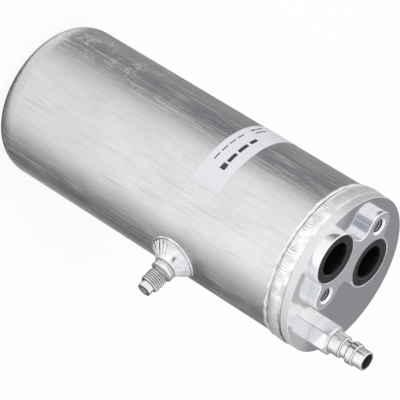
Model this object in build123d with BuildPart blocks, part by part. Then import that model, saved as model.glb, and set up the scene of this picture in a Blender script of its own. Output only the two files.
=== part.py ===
"""Receiver drier of a vehicle air conditioner, in millimetres.

The can stands on its closed end: +Z is the can's axis and the origin is the centre of its flat base.
The two ports lie on a line along Y. The header is welded into the open end at the top.
"""
import os
from math import cos, pi, radians, sin, tan

from build123d import *

os.makedirs("parts", exist_ok=True)

# Can: drawn aluminium, one closed end
can_radius = 45.0
can_wall = 2.0
can_floor = 3.0
can_shoulder = 15.0
can_height = 204.0

# Header: spigot inside the can, rim outside, face with the raised block
face_above_can = 12.0
rim_overhang = 0.9
rim_chamfer = 0.25
rim_step_above_can = 1.5
spigot_length = 10.0
spigot_clearance = 0.1

# Weld bead between the can and the header
rim_weld_lap = 3.6
rim_weld_rise = 7.5
rim_weld_crown = 0.85
rim_weld_root = 0.5
rim_weld_toe_ridge = 0.35

# Raised block with the two ports, the same when turned by half a turn
block_height = 5.6
block_x = -10.8
block_y = -10.1
block_edge_chamfer = 0.3
port_spacing = 37.6
port_boss_radius = 15.1
block_web_half_width = 11.7
lug_offset_x = 20.7
lug_offset_y = 9.9
lug_radius = 8.6
block_inner_fillet = 5.0

# Port bores
port_seat_radius = 13.9
port_seat_depth = 2.3
port_bore_radius = 11.0
port_bore_depth = 15.6
port_mouth_chamfer = 0.35
inlet_passage_radius = 7.5

# Tapped holes for the line fitting's bolts, M8
tapped_radius = 3.4
tapped_depth = 16.0
tapped_mouth_radius = 5.0
drill_point_angle = 118.0

# Transport plugs
plug_flange_radius = 13.8
plug_flange = 2.2
plug_shank_clearance = 0.15
plug_length = 12.0
plug_wall = 1.4
plug_base = 1.5
plug_mouth_chamfer = 0.8

# Suction tube, its bend and its oil hole
tube_radius = 7.0
tube_wall = 1.5
tube_fit = 0.05
tube_socket_depth = 9.0
tube_bend_radius = 18.0
tube_floor_gap = 5.0
tube_open_end_gap = 8.0
oil_hole_radius = 0.6
vent_hole_radius = 0.9
vent_hole_below_header = 22.0

# Deflector cap on the tube's outlet leg
cap_clearance = 5.0
cap_wall = 1.5
cap_skirt = 14.0
cap_below_header = 12.0
cap_collar_wall = 2.5
cap_collar_height = 8.0

# Oil filter under the bend
filter_radius = 12.0
filter_wall = 1.6
filter_height = 16.0
filter_base = 1.2
filter_floor_gap = 0.2
filter_window_width = 5.0
filter_windows = 8
mesh_thickness = 0.4

# Desiccant bag and its ties
bag_half_width = 25.0
bag_half_thickness = 12.5
bag_seam_half_thickness = 1.5
bag_bottom_level = 62.0
bag_length = 86.0
bag_tube_gap = 0.3
tie_thickness = 1.2
tie_width = 4.8
tie_gap = 0.2
tie_lower_level = 88.0
tie_upper_level = 122.0

# Service valve on the header
valve_x = 33.0
valve_y = 1.1
valve_hex = 16.0
valve_hex_turn = 11.0
valve_hex_height = 11.4
valve_hex_chamfer_angle = 30.0
valve_neck_radius = 6.35
valve_neck_top = 17.8
valve_groove_radius = 5.25
valve_groove_bottom = 18.8
valve_groove_top = 22.0
valve_collar_radius = 6.4
valve_collar_bottom = 22.8
valve_collar_top = 26.3
valve_tip_radius = 5.45
valve_tip_shoulder = 27.0
valve_height = 33.0
valve_tip_chamfer = 0.3
valve_mouth_radius = 4.35
valve_thread_radius = 4.95
valve_thread_clearance = 0.05
valve_thread_length = 11.5
valve_core_depth = 9.5
valve_passage_radius = 2.2
o_ring_centre_radius = 6.0
o_ring_section_radius = 0.8
o_ring_groove_clearance = 0.2

# Switch port in the side of the can
switch_level = 135.5
switch_angle = -37.5
switch_neck_length = 1.2
switch_tip_radius = 4.0
switch_tip_length = 3.9
switch_tip_chamfer = 0.3
switch_thread_radius = 5.55
switch_thread_length = 8.1
switch_thread_chamfer = 0.6
switch_groove_radius = 4.9
switch_groove_length = 1.4
switch_collar_radius = 6.6
switch_collar_length = 4.2
switch_collar_chamfer = 0.4
switch_neck_radius = 6.0
switch_inner_reach = 2.5
switch_hole_clearance = 0.05
switch_core_depth = 2.2
switch_mouth_chamfer = 0.5

# Weld round the switch port
side_weld_toe_radius = 15.2
side_weld_edge = 0.8
side_weld_neck_radius = 7.4
side_weld_height = 5.2
side_weld_sag = 2.2

# Valve cores: heights count down from the top of the core body
core_radius = 2.55
core_bore_radius = 2.65
core_thread_length = 4.0
core_waist_radius = 1.9
core_gasket_top = 6.0
core_gasket_length = 2.0
core_barrel_radius = 2.0
core_length = 11.0
core_chamber_radius = 1.4
core_chamber_end = 10.0
core_stem_hole_radius = 0.85
core_slot_width = 1.2
core_slot_depth = 1.5
pin_radius = 0.65
pin_above_core = 1.0
pin_collar_radius = 1.3
pin_collar_top = 2.0
pin_collar_length = 1.0
pin_cup_radius = 1.9
pin_cup_length = 2.0
pin_cup_wall = 0.25
pin_seal_gap = 0.02
pin_seal_depth = 0.9
spring_wire_radius = 0.15
spring_coil_radius = 1.1
spring_turns = 5
spring_end_gap = 0.05

# Label on the can
label_start_angle = -104.6
label_length = 75.0
label_width = 19.0
label_level = 133.0
label_thickness = 0.15
label_corner = 1.5

# Places that follow from the sizes above
bore_radius = can_radius - can_wall
spigot_radius = bore_radius - spigot_clearance
rim_radius = can_radius + rim_overhang
rim_step_level = can_height + rim_step_above_can
rim_weld_toe = can_height - rim_weld_lap
rim_weld_top = can_height + rim_weld_rise
spigot_end_level = can_height - spigot_length
face_level = can_height + face_above_can
front_level = face_level + block_height
cap_radius = bore_radius - cap_clearance
inlet_y = block_y - port_spacing / 2
outlet_y = block_y + port_spacing / 2
bend_middle_x = block_x + tube_bend_radius
tube_far_x = block_x + 2 * tube_bend_radius
tube_top_level = spigot_end_level + tube_socket_depth
bend_level = can_floor + tube_floor_gap + tube_radius + tube_bend_radius
cap_roof_level = spigot_end_level - cap_below_header
tube_open_level = cap_roof_level - cap_wall - tube_open_end_gap
filter_level = can_floor + filter_floor_gap
bag_middle_y = outlet_y - tube_radius - bag_tube_gap - bag_half_thickness
switch_outward = (cos(radians(switch_angle)), sin(radians(switch_angle)), 0.0)
weld_inner = rim_weld_root + bore_radius


def section_plane(origin, across, outward):
    """Plane through a turning axis: local x is the radius, local y runs along the outward axis."""
    return Plane(origin=origin, x_dir=across, z_dir=Vector(*across).cross(Vector(*outward)))


# Can body: drawn shell with a flat floor, a round shoulder and a bevelled open edge
inner_shoulder = can_shoulder - can_floor
with BuildPart() as can_body:
    with BuildSketch(Plane.XZ):
        with BuildLine():
            Polyline((0, can_floor), (0, 0), (can_radius - can_shoulder, 0))
            CenterArc((can_radius - can_shoulder, can_shoulder), can_shoulder, -90, 90)
            Polyline(
                (can_radius, can_shoulder),
                (can_radius, rim_weld_toe),
                (weld_inner, can_height),
                (bore_radius, can_height),
                (bore_radius, can_shoulder),
            )
            CenterArc((bore_radius - inner_shoulder, can_shoulder), inner_shoulder, 0, -90)
            Line((bore_radius - inner_shoulder, can_floor), (0, can_floor))
        make_face()
    revolve(axis=Axis.Z)
    with BuildSketch(Plane(origin=(0, 0, switch_level), x_dir=(0, 0, 1), z_dir=switch_outward)):
        Circle(switch_neck_radius + switch_hole_clearance)
    extrude(amount=2 * can_radius, mode=Mode.SUBTRACT)
can_body.part.label = "can_body"
export_step(can_body.part, "parts/can_body.step")

# Header: turned disc with its spigot, then the milled block, the ports and the tapped holes
tapped_places = [
    (block_x - lug_offset_x, block_y + lug_offset_y, front_level),
    (block_x + lug_offset_x, block_y - lug_offset_y, front_level),
]
port_places = [(block_x, inlet_y, front_level), (block_x, outlet_y, front_level)]
with BuildPart() as header:
    with BuildSketch(Plane.XZ):
        with BuildLine():
            Polyline(
                (0, spigot_end_level),
                (spigot_radius, spigot_end_level),
                (spigot_radius, rim_step_level),
                (weld_inner, rim_step_level),
                (rim_radius, rim_weld_top),
                (rim_radius, face_level - rim_chamfer),
                (rim_radius - rim_chamfer, face_level),
                (0, face_level),
                close=True,
            )
        make_face()
    revolve(axis=Axis.Z)
    with BuildSketch(Plane.XY.offset(face_level)):
        with Locations(*[(x, y) for x, y, z in port_places]):
            Circle(port_boss_radius)
        with Locations(*[(x, y) for x, y, z in tapped_places]):
            Circle(lug_radius)
        with Locations((block_x, block_y)):
            Rectangle(2 * block_web_half_width, port_spacing)
        for side in (-1, 1):
            with Locations((block_x + side * lug_offset_x / 2, block_y - side * lug_offset_y)):
                Rectangle(lug_offset_x, 2 * lug_radius)
        offset(amount=block_inner_fillet)
        offset(amount=-block_inner_fillet)
    extrude(amount=block_height)
    chamfer(header.faces().sort_by(Axis.Z)[-1].edges(), length=block_edge_chamfer)
    with BuildSketch(Plane.XY.offset(face_level)):
        Circle(2 * rim_radius)
        Circle(rim_radius - rim_chamfer, mode=Mode.SUBTRACT)
    extrude(amount=block_height, mode=Mode.SUBTRACT)
    with Locations(*port_places):
        CounterBoreHole(port_bore_radius, port_seat_radius, port_seat_depth, depth=port_bore_depth)
    chamfer(
        header.edges().filter_by(GeomType.CIRCLE).group_by(Axis.Z)[-1].filter_by(
            lambda e: abs(e.radius - port_seat_radius) < 0.01
        ),
        length=port_mouth_chamfer,
    )
    with BuildSketch(Plane.XY.offset(spigot_end_level)):
        with Locations((block_x, inlet_y)):
            Circle(inlet_passage_radius)
        with Locations((block_x, outlet_y)):
            Circle(tube_radius - tube_wall)
    extrude(amount=front_level - spigot_end_level - port_seat_depth, mode=Mode.SUBTRACT)
    with BuildSketch(Plane.XY.offset(spigot_end_level)):
        with Locations((block_x, outlet_y)):
            Circle(tube_radius + tube_fit)
    extrude(amount=tube_socket_depth, mode=Mode.SUBTRACT)
    with Locations(*tapped_places):
        CounterSinkHole(tapped_radius, tapped_mouth_radius, depth=tapped_depth, counter_sink_angle=90)
    drill_point = tapped_radius / tan(radians(drill_point_angle / 2))
    with Locations(*[(x, y, z - tapped_depth - drill_point / 2) for x, y, z in tapped_places]):
        Cone(0, tapped_radius, drill_point, mode=Mode.SUBTRACT)
    with Locations((valve_x, valve_y, face_level)):
        CounterBoreHole(
            valve_thread_radius + valve_thread_clearance,
            o_ring_centre_radius + o_ring_section_radius + o_ring_groove_clearance,
            2 * o_ring_section_radius,
            depth=valve_thread_length + valve_passage_radius,
        )
    with BuildSketch(Plane.XY.offset(spigot_end_level)):
        with Locations((valve_x, valve_y)):
            Circle(valve_passage_radius)
    extrude(amount=(face_level - spigot_end_level) / 2, mode=Mode.SUBTRACT)
header.part.label = "header"
export_step(header.part, "parts/header.step")

# Rim weld: fills the groove between the can and the header, with a low crown and a ridge at its toe
with BuildPart() as rim_weld:
    with BuildSketch(Plane.XZ):
        with BuildLine():
            Polyline(
                (can_radius, rim_weld_toe),
                (weld_inner, can_height),
                (spigot_radius, can_height),
                (spigot_radius, rim_step_level),
                (weld_inner, rim_step_level),
                (rim_radius, rim_weld_top),
            )
            ThreePointArc(
                (rim_radius, rim_weld_top),
                ((can_radius + rim_radius) / 2 + rim_weld_crown, (rim_weld_toe + rim_weld_top) / 2),
                (can_radius, rim_weld_toe),
            )
        make_face()
        with Locations((can_radius, rim_weld_toe)):
            Circle(rim_weld_toe_ridge)
        with BuildLine():
            Polyline(
                (can_radius, rim_weld_toe - can_wall),
                (can_radius, rim_weld_toe),
                (weld_inner, can_height),
                (bore_radius, can_height),
                (bore_radius, rim_weld_toe - can_wall),
                close=True,
            )
        make_face(mode=Mode.SUBTRACT)
    revolve(axis=Axis.Z)
rim_weld.part.label = "rim_weld"
export_step(rim_weld.part, "parts/rim_weld.step")


def port_plug(name, middle_y):
    """Transport plug: a flanged cup pressed into a port, open to the front."""
    shank_radius = port_bore_radius - plug_shank_clearance
    cup_radius = shank_radius - plug_wall
    with BuildPart() as plug:
        with BuildSketch(section_plane((block_x, middle_y, front_level), (1, 0, 0), (0, 0, 1))):
            with BuildLine():
                Polyline(
                    (0, plug_base - plug_length),
                    (cup_radius, plug_base - plug_length),
                    (cup_radius, -plug_mouth_chamfer),
                    (cup_radius + plug_mouth_chamfer, 0),
                    (plug_flange_radius, 0),
                    (plug_flange_radius, -plug_flange),
                    (shank_radius, -plug_flange),
                    (shank_radius, -plug_length),
                    (0, -plug_length),
                    close=True,
                )
            make_face()
        revolve(axis=Axis((block_x, middle_y, front_level), (0, 0, 1)))
    plug.part.label = name
    export_step(plug.part, f"parts/{name}.step")


port_plug("inlet_plug", inlet_y)
port_plug("outlet_plug", outlet_y)

# Suction tube: down from the outlet socket, round a bend above the floor and up to its open end
with BuildPart() as suction_tube:
    with BuildLine() as tube_path:
        outlet_leg = Line((block_x, outlet_y, tube_top_level), (block_x, outlet_y, bend_level))
        ThreePointArc(
            (block_x, outlet_y, bend_level),
            (bend_middle_x, outlet_y, bend_level - tube_bend_radius),
            (tube_far_x, outlet_y, bend_level),
        )
        Line((tube_far_x, outlet_y, bend_level), (tube_far_x, outlet_y, tube_open_level))
    with BuildSketch(Plane(origin=outlet_leg @ 0, z_dir=outlet_leg % 0)):
        Circle(tube_radius)
        Circle(tube_radius - tube_wall, mode=Mode.SUBTRACT)
    sweep()
    with BuildSketch(Plane.XY.offset(can_floor)):
        with Locations((bend_middle_x, outlet_y)):
            Circle(oil_hole_radius)
    extrude(amount=tube_floor_gap + tube_radius, mode=Mode.SUBTRACT)
    vent_level = spigot_end_level - vent_hole_below_header
    with BuildSketch(Plane(origin=(block_x, outlet_y, vent_level), z_dir=(0, 1, 0))):
        Circle(vent_hole_radius)
    extrude(amount=2 * tube_radius, mode=Mode.SUBTRACT)
suction_tube.part.label = "suction_tube"
export_step(suction_tube.part, "parts/suction_tube.step")

# Deflector cap: inverted dish over the tube's open end, with a collar on the outlet leg
with BuildPart() as deflector_cap:
    with BuildSketch(Plane.XZ):
        with BuildLine():
            Polyline(
                (0, cap_roof_level),
                (cap_radius - cap_wall, cap_roof_level),
                (cap_radius, cap_roof_level - cap_wall),
                (cap_radius, cap_roof_level - cap_skirt),
                (cap_radius - cap_wall, cap_roof_level - cap_skirt),
                (cap_radius - cap_wall, cap_roof_level - cap_wall),
                (0, cap_roof_level - cap_wall),
                close=True,
            )
        make_face()
    revolve(axis=Axis.Z)
    with BuildSketch(Plane.XY.offset(cap_roof_level - cap_collar_height)):
        with Locations((block_x, outlet_y)):
            Circle(tube_radius + tube_fit + cap_collar_wall)
    extrude(amount=cap_collar_height)
    with BuildSketch(Plane.XY.offset(cap_roof_level - cap_collar_height)):
        with Locations((block_x, outlet_y)):
            Circle(tube_radius + tube_fit)
    extrude(amount=cap_collar_height, mode=Mode.SUBTRACT)
deflector_cap.part.label = "deflector_cap"
export_step(deflector_cap.part, "parts/deflector_cap.step")

# Oil filter: cup under the bend, notched for the tube, with windows for the screen inside it
filter_bore = filter_radius - filter_wall
window_height = tube_floor_gap - filter_floor_gap - filter_base
with BuildPart() as oil_filter:
    with BuildSketch(Plane.XY.offset(filter_level)):
        with Locations((bend_middle_x, outlet_y)):
            Circle(filter_radius)
    extrude(amount=filter_height)
    with BuildSketch(Plane.XY.offset(filter_level + filter_base)):
        with Locations((bend_middle_x, outlet_y)):
            Circle(filter_bore)
    extrude(amount=filter_height, mode=Mode.SUBTRACT)
    with BuildLine():
        notch_bend = ThreePointArc(
            (block_x, outlet_y, bend_level),
            (bend_middle_x, outlet_y, bend_level - tube_bend_radius),
            (tube_far_x, outlet_y, bend_level),
        )
    with BuildSketch(Plane(origin=notch_bend @ 0, z_dir=notch_bend % 0)):
        Circle(tube_radius + tube_fit)
    sweep(mode=Mode.SUBTRACT)
    with Locations((bend_middle_x, outlet_y, filter_level + filter_base + window_height / 2)):
        with PolarLocations(filter_radius, filter_windows):
            Box(2 * filter_wall + 1, filter_window_width, window_height, mode=Mode.SUBTRACT)
oil_filter.part.label = "oil_filter"
export_step(oil_filter.part, "parts/oil_filter.step")

# Oil filter mesh: screen band inside the windows
with BuildPart() as oil_filter_mesh:
    with BuildSketch(Plane.XY.offset(filter_level + filter_base)):
        with Locations((bend_middle_x, outlet_y)):
            Circle(filter_bore)
            Circle(filter_bore - mesh_thickness, mode=Mode.SUBTRACT)
    extrude(amount=window_height)
oil_filter_mesh.part.label = "oil_filter_mesh"
export_step(oil_filter_mesh.part, "parts/oil_filter_mesh.step")

# Desiccant bag: pillow with a flat seam at each end
bag_sections = [
    (0.0, bag_seam_half_thickness),
    (0.12, 0.75 * bag_half_thickness),
    (0.5, bag_half_thickness),
    (0.88, 0.75 * bag_half_thickness),
    (1.0, bag_seam_half_thickness),
]
with BuildPart() as desiccant_bag:
    for share, half_thickness in bag_sections:
        with BuildSketch(Plane.XY.offset(bag_bottom_level + share * bag_length)):
            with Locations((bend_middle_x, bag_middle_y)):
                Ellipse(bag_half_width, half_thickness)
    loft()
desiccant_bag.part.label = "desiccant_bag"
export_step(desiccant_bag.part, "parts/desiccant_bag.step")


def tie_outline(growth):
    """Outline round both legs of the tube and the bag, grown by a gap."""
    half_width = max(bag_half_width, tube_bend_radius + tube_radius) + growth
    leg_side = outlet_y + tube_radius + growth
    bag_side = bag_middle_y - bag_half_thickness - growth
    with BuildSketch() as outline:
        with Locations((bend_middle_x, (leg_side + bag_side) / 2)):
            Rectangle(2 * half_width, leg_side - bag_side)
        fillet(outline.vertices().group_by(Axis.Y)[-1], tube_radius + growth)
        fillet(outline.vertices().group_by(Axis.Y)[0], bag_half_thickness + growth)
    return outline.sketch


def bag_tie(name, level):
    """Flat tie round the tube and the bag."""
    outer = tie_outline(tie_gap + tie_thickness)
    inner = tie_outline(tie_gap)
    with BuildPart() as tie:
        with BuildSketch(Plane.XY.offset(level)):
            add(outer)
            add(inner, mode=Mode.SUBTRACT)
        extrude(amount=tie_width)
    tie.part.label = name
    export_step(tie.part, f"parts/{name}.step")


bag_tie("bag_tie_lower", tie_lower_level)
bag_tie("bag_tie_upper", tie_upper_level)

# Service valve: threaded spigot, hexagon, neck, groove, collar and tip, bored for its core
valve_place = (valve_x, valve_y, face_level)
valve_section = section_plane(valve_place, (1, 0, 0), (0, 0, 1))
valve_axis = Axis(valve_place, (0, 0, 1))
valve_core_top = valve_height - valve_core_depth
gasket_end = core_gasket_top + core_gasket_length
hex_corner_radius = valve_hex / 2 / cos(pi / 6)
hex_slope = (hex_corner_radius - valve_neck_radius) * sin(radians(valve_hex_chamfer_angle))
with BuildPart() as service_valve:
    with BuildSketch(Plane.XY.offset(face_level)):
        with Locations((valve_x, valve_y)):
            RegularPolygon(valve_hex / 2, 6, major_radius=False, rotation=valve_hex_turn)
    extrude(amount=valve_hex_height)
    with BuildSketch(valve_section):
        with BuildLine():
            Polyline(
                (0, 0),
                (hex_corner_radius, 0),
                (hex_corner_radius, valve_hex_height - hex_slope),
                (valve_neck_radius, valve_hex_height),
                (0, valve_hex_height),
                close=True,
            )
        make_face()
    revolve(axis=valve_axis, mode=Mode.INTERSECT)
    with BuildSketch(valve_section):
        with BuildLine():
            Polyline(
                (0, -valve_thread_length),
                (valve_thread_radius, -valve_thread_length),
                (valve_thread_radius, 0),
                (valve_neck_radius, 0),
                (valve_neck_radius, valve_neck_top),
                (valve_groove_radius, valve_groove_bottom),
                (valve_groove_radius, valve_groove_top),
                (valve_collar_radius, valve_collar_bottom),
                (valve_collar_radius, valve_collar_top),
                (valve_tip_radius, valve_tip_shoulder),
                (valve_tip_radius, valve_height - valve_tip_chamfer),
                (valve_tip_radius - valve_tip_chamfer, valve_height),
                (0, valve_height),
                close=True,
            )
        make_face()
    revolve(axis=valve_axis)
    seat_cone = valve_mouth_radius - core_bore_radius
    step = core_bore_radius - valve_passage_radius
    with BuildSketch(valve_section):
        with BuildLine():
            Polyline(
                (0, valve_height),
                (valve_mouth_radius, valve_height),
                (valve_mouth_radius, valve_core_top + seat_cone),
                (core_bore_radius, valve_core_top),
                (core_bore_radius, valve_core_top - gasket_end),
                (valve_passage_radius, valve_core_top - gasket_end - step),
                (valve_passage_radius, -valve_thread_length),
                (0, -valve_thread_length),
                close=True,
            )
        make_face()
    revolve(axis=valve_axis, mode=Mode.SUBTRACT)
service_valve.part.label = "service_valve"
export_step(service_valve.part, "parts/service_valve.step")

# Service O-ring: in its groove under the hexagon
with BuildPart() as service_o_ring:
    with BuildSketch(valve_section):
        with Locations((o_ring_centre_radius, -o_ring_section_radius)):
            Circle(o_ring_section_radius)
    revolve(axis=valve_axis)
service_o_ring.part.label = "service_o_ring"
export_step(service_o_ring.part, "parts/service_o_ring.step")

# Switch port: turned fitting through the can wall; its outline runs out from the can's axis
switch_place = (0, 0, switch_level)
switch_section = section_plane(switch_place, (0, 0, 1), switch_outward)
switch_axis = Axis(switch_place, switch_outward)
weld_top = can_radius + side_weld_height
switch_neck_end = weld_top + switch_neck_length
switch_collar_end = switch_neck_end + switch_collar_length
switch_groove_end = switch_collar_end + switch_groove_length
switch_thread_end = switch_groove_end + switch_thread_length
switch_reach = switch_thread_end + switch_tip_length
switch_inner_end = bore_radius - switch_inner_reach
switch_core_top = switch_reach - switch_core_depth
with BuildPart() as switch_port:
    with BuildSketch(switch_section):
        with BuildLine():
            Polyline(
                (0, switch_inner_end),
                (switch_neck_radius, switch_inner_end),
                (switch_neck_radius, switch_neck_end),
                (switch_collar_radius - switch_collar_chamfer, switch_neck_end),
                (switch_collar_radius, switch_neck_end + switch_collar_chamfer),
                (switch_collar_radius, switch_collar_end - switch_collar_chamfer),
                (switch_collar_radius - switch_collar_chamfer, switch_collar_end),
                (switch_groove_radius, switch_collar_end),
                (switch_groove_radius, switch_groove_end),
                (switch_thread_radius, switch_groove_end + switch_thread_chamfer),
                (switch_thread_radius, switch_thread_end - switch_thread_chamfer),
                (switch_thread_radius - switch_thread_chamfer, switch_thread_end),
                (switch_tip_radius, switch_thread_end),
                (switch_tip_radius, switch_reach - switch_tip_chamfer),
                (switch_tip_radius - switch_tip_chamfer, switch_reach),
                (0, switch_reach),
                close=True,
            )
        make_face()
    revolve(axis=switch_axis)
    with BuildSketch(switch_section):
        with BuildLine():
            Polyline(
                (0, switch_reach),
                (core_bore_radius + switch_mouth_chamfer, switch_reach),
                (core_bore_radius, switch_reach - switch_mouth_chamfer),
                (core_bore_radius, switch_core_top - gasket_end),
                (valve_passage_radius, switch_core_top - gasket_end - step),
                (valve_passage_radius, switch_inner_end),
                (0, switch_inner_end),
                close=True,
            )
        make_face()
    revolve(axis=switch_axis, mode=Mode.SUBTRACT)
switch_port.part.label = "switch_port"
export_step(switch_port.part, "parts/switch_port.step")

# Switch port weld: thin saddle on the can and a hollow-sided mound up to the neck
with BuildPart() as switch_port_weld:
    with BuildSketch(Plane.XY.offset(switch_level - 2 * side_weld_toe_radius)):
        Circle(can_radius + side_weld_edge)
    extrude(amount=4 * side_weld_toe_radius)
    with BuildSketch(switch_section):
        with BuildLine():
            Polyline(
                (0, 0),
                (side_weld_toe_radius, 0),
                (side_weld_toe_radius, weld_top),
                (0, weld_top),
                close=True,
            )
        make_face()
    revolve(axis=switch_axis, mode=Mode.INTERSECT)
    with BuildSketch(switch_section):
        foot = side_weld_toe_radius - side_weld_edge
        middle = ((side_weld_neck_radius + foot) / 2, (weld_top + can_radius) / 2 - side_weld_sag)
        with BuildLine():
            Polyline(
                (foot, can_radius - side_weld_sag),
                (foot, 0),
                (0, 0),
                (0, weld_top),
                (side_weld_neck_radius, weld_top),
            )
            ThreePointArc((side_weld_neck_radius, weld_top), middle, (foot, can_radius - side_weld_sag))
        make_face()
    revolve(axis=switch_axis)
    with BuildSketch(Plane.XY.offset(switch_level - 2 * side_weld_toe_radius)):
        Circle(can_radius)
    extrude(amount=4 * side_weld_toe_radius, mode=Mode.SUBTRACT)
    with BuildSketch(Plane(origin=switch_place, x_dir=(0, 0, 1), z_dir=switch_outward)):
        Circle(switch_neck_radius)
    extrude(amount=weld_top, mode=Mode.SUBTRACT)
switch_port_weld.part.label = "switch_port_weld"
export_step(switch_port_weld.part, "parts/switch_port_weld.step")


def valve_core(prefix, place, across, outward, top):
    """Sprung valve core: body, gasket, pin, seal and spring, hung from the level of its top."""
    origin = Vector(*place) + Vector(*outward) * top
    section = section_plane(origin, across, outward)
    axis = Axis(origin, outward)

    with BuildPart() as core_body:
        with BuildSketch(section):
            with BuildLine():
                Polyline(
                    (core_chamber_radius, 0),
                    (core_radius, 0),
                    (core_radius, -core_thread_length),
                    (core_waist_radius, -core_thread_length),
                    (core_waist_radius, -gasket_end),
                    (core_barrel_radius, -gasket_end),
                    (core_barrel_radius, -core_length),
                    (core_stem_hole_radius, -core_length),
                    (core_stem_hole_radius, -core_chamber_end),
                    (core_chamber_radius, -core_chamber_end),
                    close=True,
                )
            make_face()
        revolve(axis=axis)
        with BuildSketch(Plane(origin=origin, x_dir=across, z_dir=outward)):
            Rectangle(2 * core_radius, core_slot_width)
        extrude(amount=-core_slot_depth, mode=Mode.SUBTRACT)
    core_body.part.label = f"{prefix}_core_body"
    export_step(core_body.part, f"parts/{prefix}_core_body.step")

    with BuildPart() as core_gasket:
        with BuildSketch(section):
            with BuildLine():
                Polyline(
                    (core_waist_radius, -core_gasket_top),
                    (core_radius, -core_gasket_top),
                    (core_radius, -gasket_end + step),
                    (core_barrel_radius + step, -gasket_end),
                    (core_waist_radius, -gasket_end),
                    close=True,
                )
            make_face()
        revolve(axis=axis)
    core_gasket.part.label = f"{prefix}_core_gasket"
    export_step(core_gasket.part, f"parts/{prefix}_core_gasket.step")

    cup_top = core_length + pin_seal_gap
    cup_floor = cup_top + pin_seal_depth
    with BuildPart() as core_pin:
        with BuildSketch(section):
            with BuildLine():
                Polyline(
                    (0, pin_above_core),
                    (pin_radius, pin_above_core),
                    (pin_radius, -pin_collar_top),
                    (pin_collar_radius, -pin_collar_top),
                    (pin_collar_radius, -pin_collar_top - pin_collar_length),
                    (pin_radius, -pin_collar_top - pin_collar_length),
                    (pin_radius, -cup_floor),
                    (pin_cup_radius - pin_cup_wall, -cup_floor),
                    (pin_cup_radius - pin_cup_wall, -cup_top - pin_cup_wall),
                    (pin_cup_radius, -cup_top - pin_cup_wall),
                    (pin_cup_radius, -cup_top - pin_cup_length),
                    (0, -cup_top - pin_cup_length),
                    close=True,
                )
            make_face()
        revolve(axis=axis)
    core_pin.part.label = f"{prefix}_core_pin"
    export_step(core_pin.part, f"parts/{prefix}_core_pin.step")

    with BuildPart() as core_seal:
        with BuildSketch(section):
            with BuildLine():
                Polyline(
                    (pin_radius, -cup_top),
                    (pin_cup_radius - pin_cup_wall, -cup_top),
                    (pin_cup_radius - pin_cup_wall, -cup_floor),
                    (pin_radius, -cup_floor),
                    close=True,
                )
            make_face()
        revolve(axis=axis)
    core_seal.part.label = f"{prefix}_core_seal"
    export_step(core_seal.part, f"parts/{prefix}_core_seal.step")

    spring_top = pin_collar_top + pin_collar_length + spring_end_gap + spring_wire_radius
    spring_bottom = core_chamber_end - spring_end_gap - spring_wire_radius
    spring_height = spring_bottom - spring_top
    with BuildPart() as core_spring:
        with BuildLine():
            coil = Helix(
                pitch=spring_height / spring_turns,
                height=spring_height,
                radius=spring_coil_radius,
                center=origin - Vector(*outward) * spring_bottom,
                direction=outward,
            )
        with BuildSketch(Plane(origin=coil @ 0, z_dir=coil % 0)):
            Circle(spring_wire_radius)
        sweep(is_frenet=True)
    core_spring.part.label = f"{prefix}_core_spring"
    export_step(core_spring.part, f"parts/{prefix}_core_spring.step")


valve_core("service", valve_place, (1, 0, 0), (0, 0, 1), valve_core_top)
valve_core("switch", switch_place, (0, 0, 1), switch_outward, switch_core_top)

# Label: thin paper band part of the way round the can, with rounded corners
label_angle = label_length / can_radius * 180 / pi
label_side = (cos(radians(label_start_angle)), sin(radians(label_start_angle)), 0.0)
label_half = section_plane((0, 0, 0), label_side, (0, 0, 1))
with BuildPart() as label:
    with BuildSketch(label_half):
        with Locations((can_radius + label_thickness / 2, label_level + label_width / 2)):
            Rectangle(label_thickness, label_width)
    revolve(axis=Axis.Z, revolution_arc=-label_angle)
    corner_edges = label.edges().filter_by(lambda e: abs(e.length - label_thickness) < 0.01)
    fillet(corner_edges, label_corner)
label.part.label = "label"
export_step(label.part, "parts/label.step")
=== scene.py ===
"""Looks of a vehicle air conditioner's receiver drier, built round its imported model.

Lengths in the property groups are metres, as everywhere in Blender. The can stands on its closed
end with +Z along its axis, and the two ports lie on a line along Y.
"""
import math

import bpy
from mathutils import Matrix, Vector, noise as perlin


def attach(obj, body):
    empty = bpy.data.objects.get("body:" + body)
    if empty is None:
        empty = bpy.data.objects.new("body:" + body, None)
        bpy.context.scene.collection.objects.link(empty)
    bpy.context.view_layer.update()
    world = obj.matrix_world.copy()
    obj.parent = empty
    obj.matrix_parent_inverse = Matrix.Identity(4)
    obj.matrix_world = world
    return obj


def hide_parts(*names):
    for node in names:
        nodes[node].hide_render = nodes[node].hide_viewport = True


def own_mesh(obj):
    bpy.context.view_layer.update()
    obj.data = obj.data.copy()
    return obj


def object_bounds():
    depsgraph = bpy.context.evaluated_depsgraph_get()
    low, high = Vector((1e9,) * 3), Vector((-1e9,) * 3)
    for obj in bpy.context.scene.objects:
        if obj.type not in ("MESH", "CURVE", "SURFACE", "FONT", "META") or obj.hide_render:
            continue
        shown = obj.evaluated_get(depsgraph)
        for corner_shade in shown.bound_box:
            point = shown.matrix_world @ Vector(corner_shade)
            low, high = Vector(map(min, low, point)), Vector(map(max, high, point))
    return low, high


bl_info = {
    "name": "Receiver drier",
    "version": (1, 0, 0),
    "blender": (4, 5, 0),
    "location": "View3D > Sidebar > Drier",
    "description": "Finishes and small forms of a receiver drier",
    "category": "Object",
}

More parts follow.
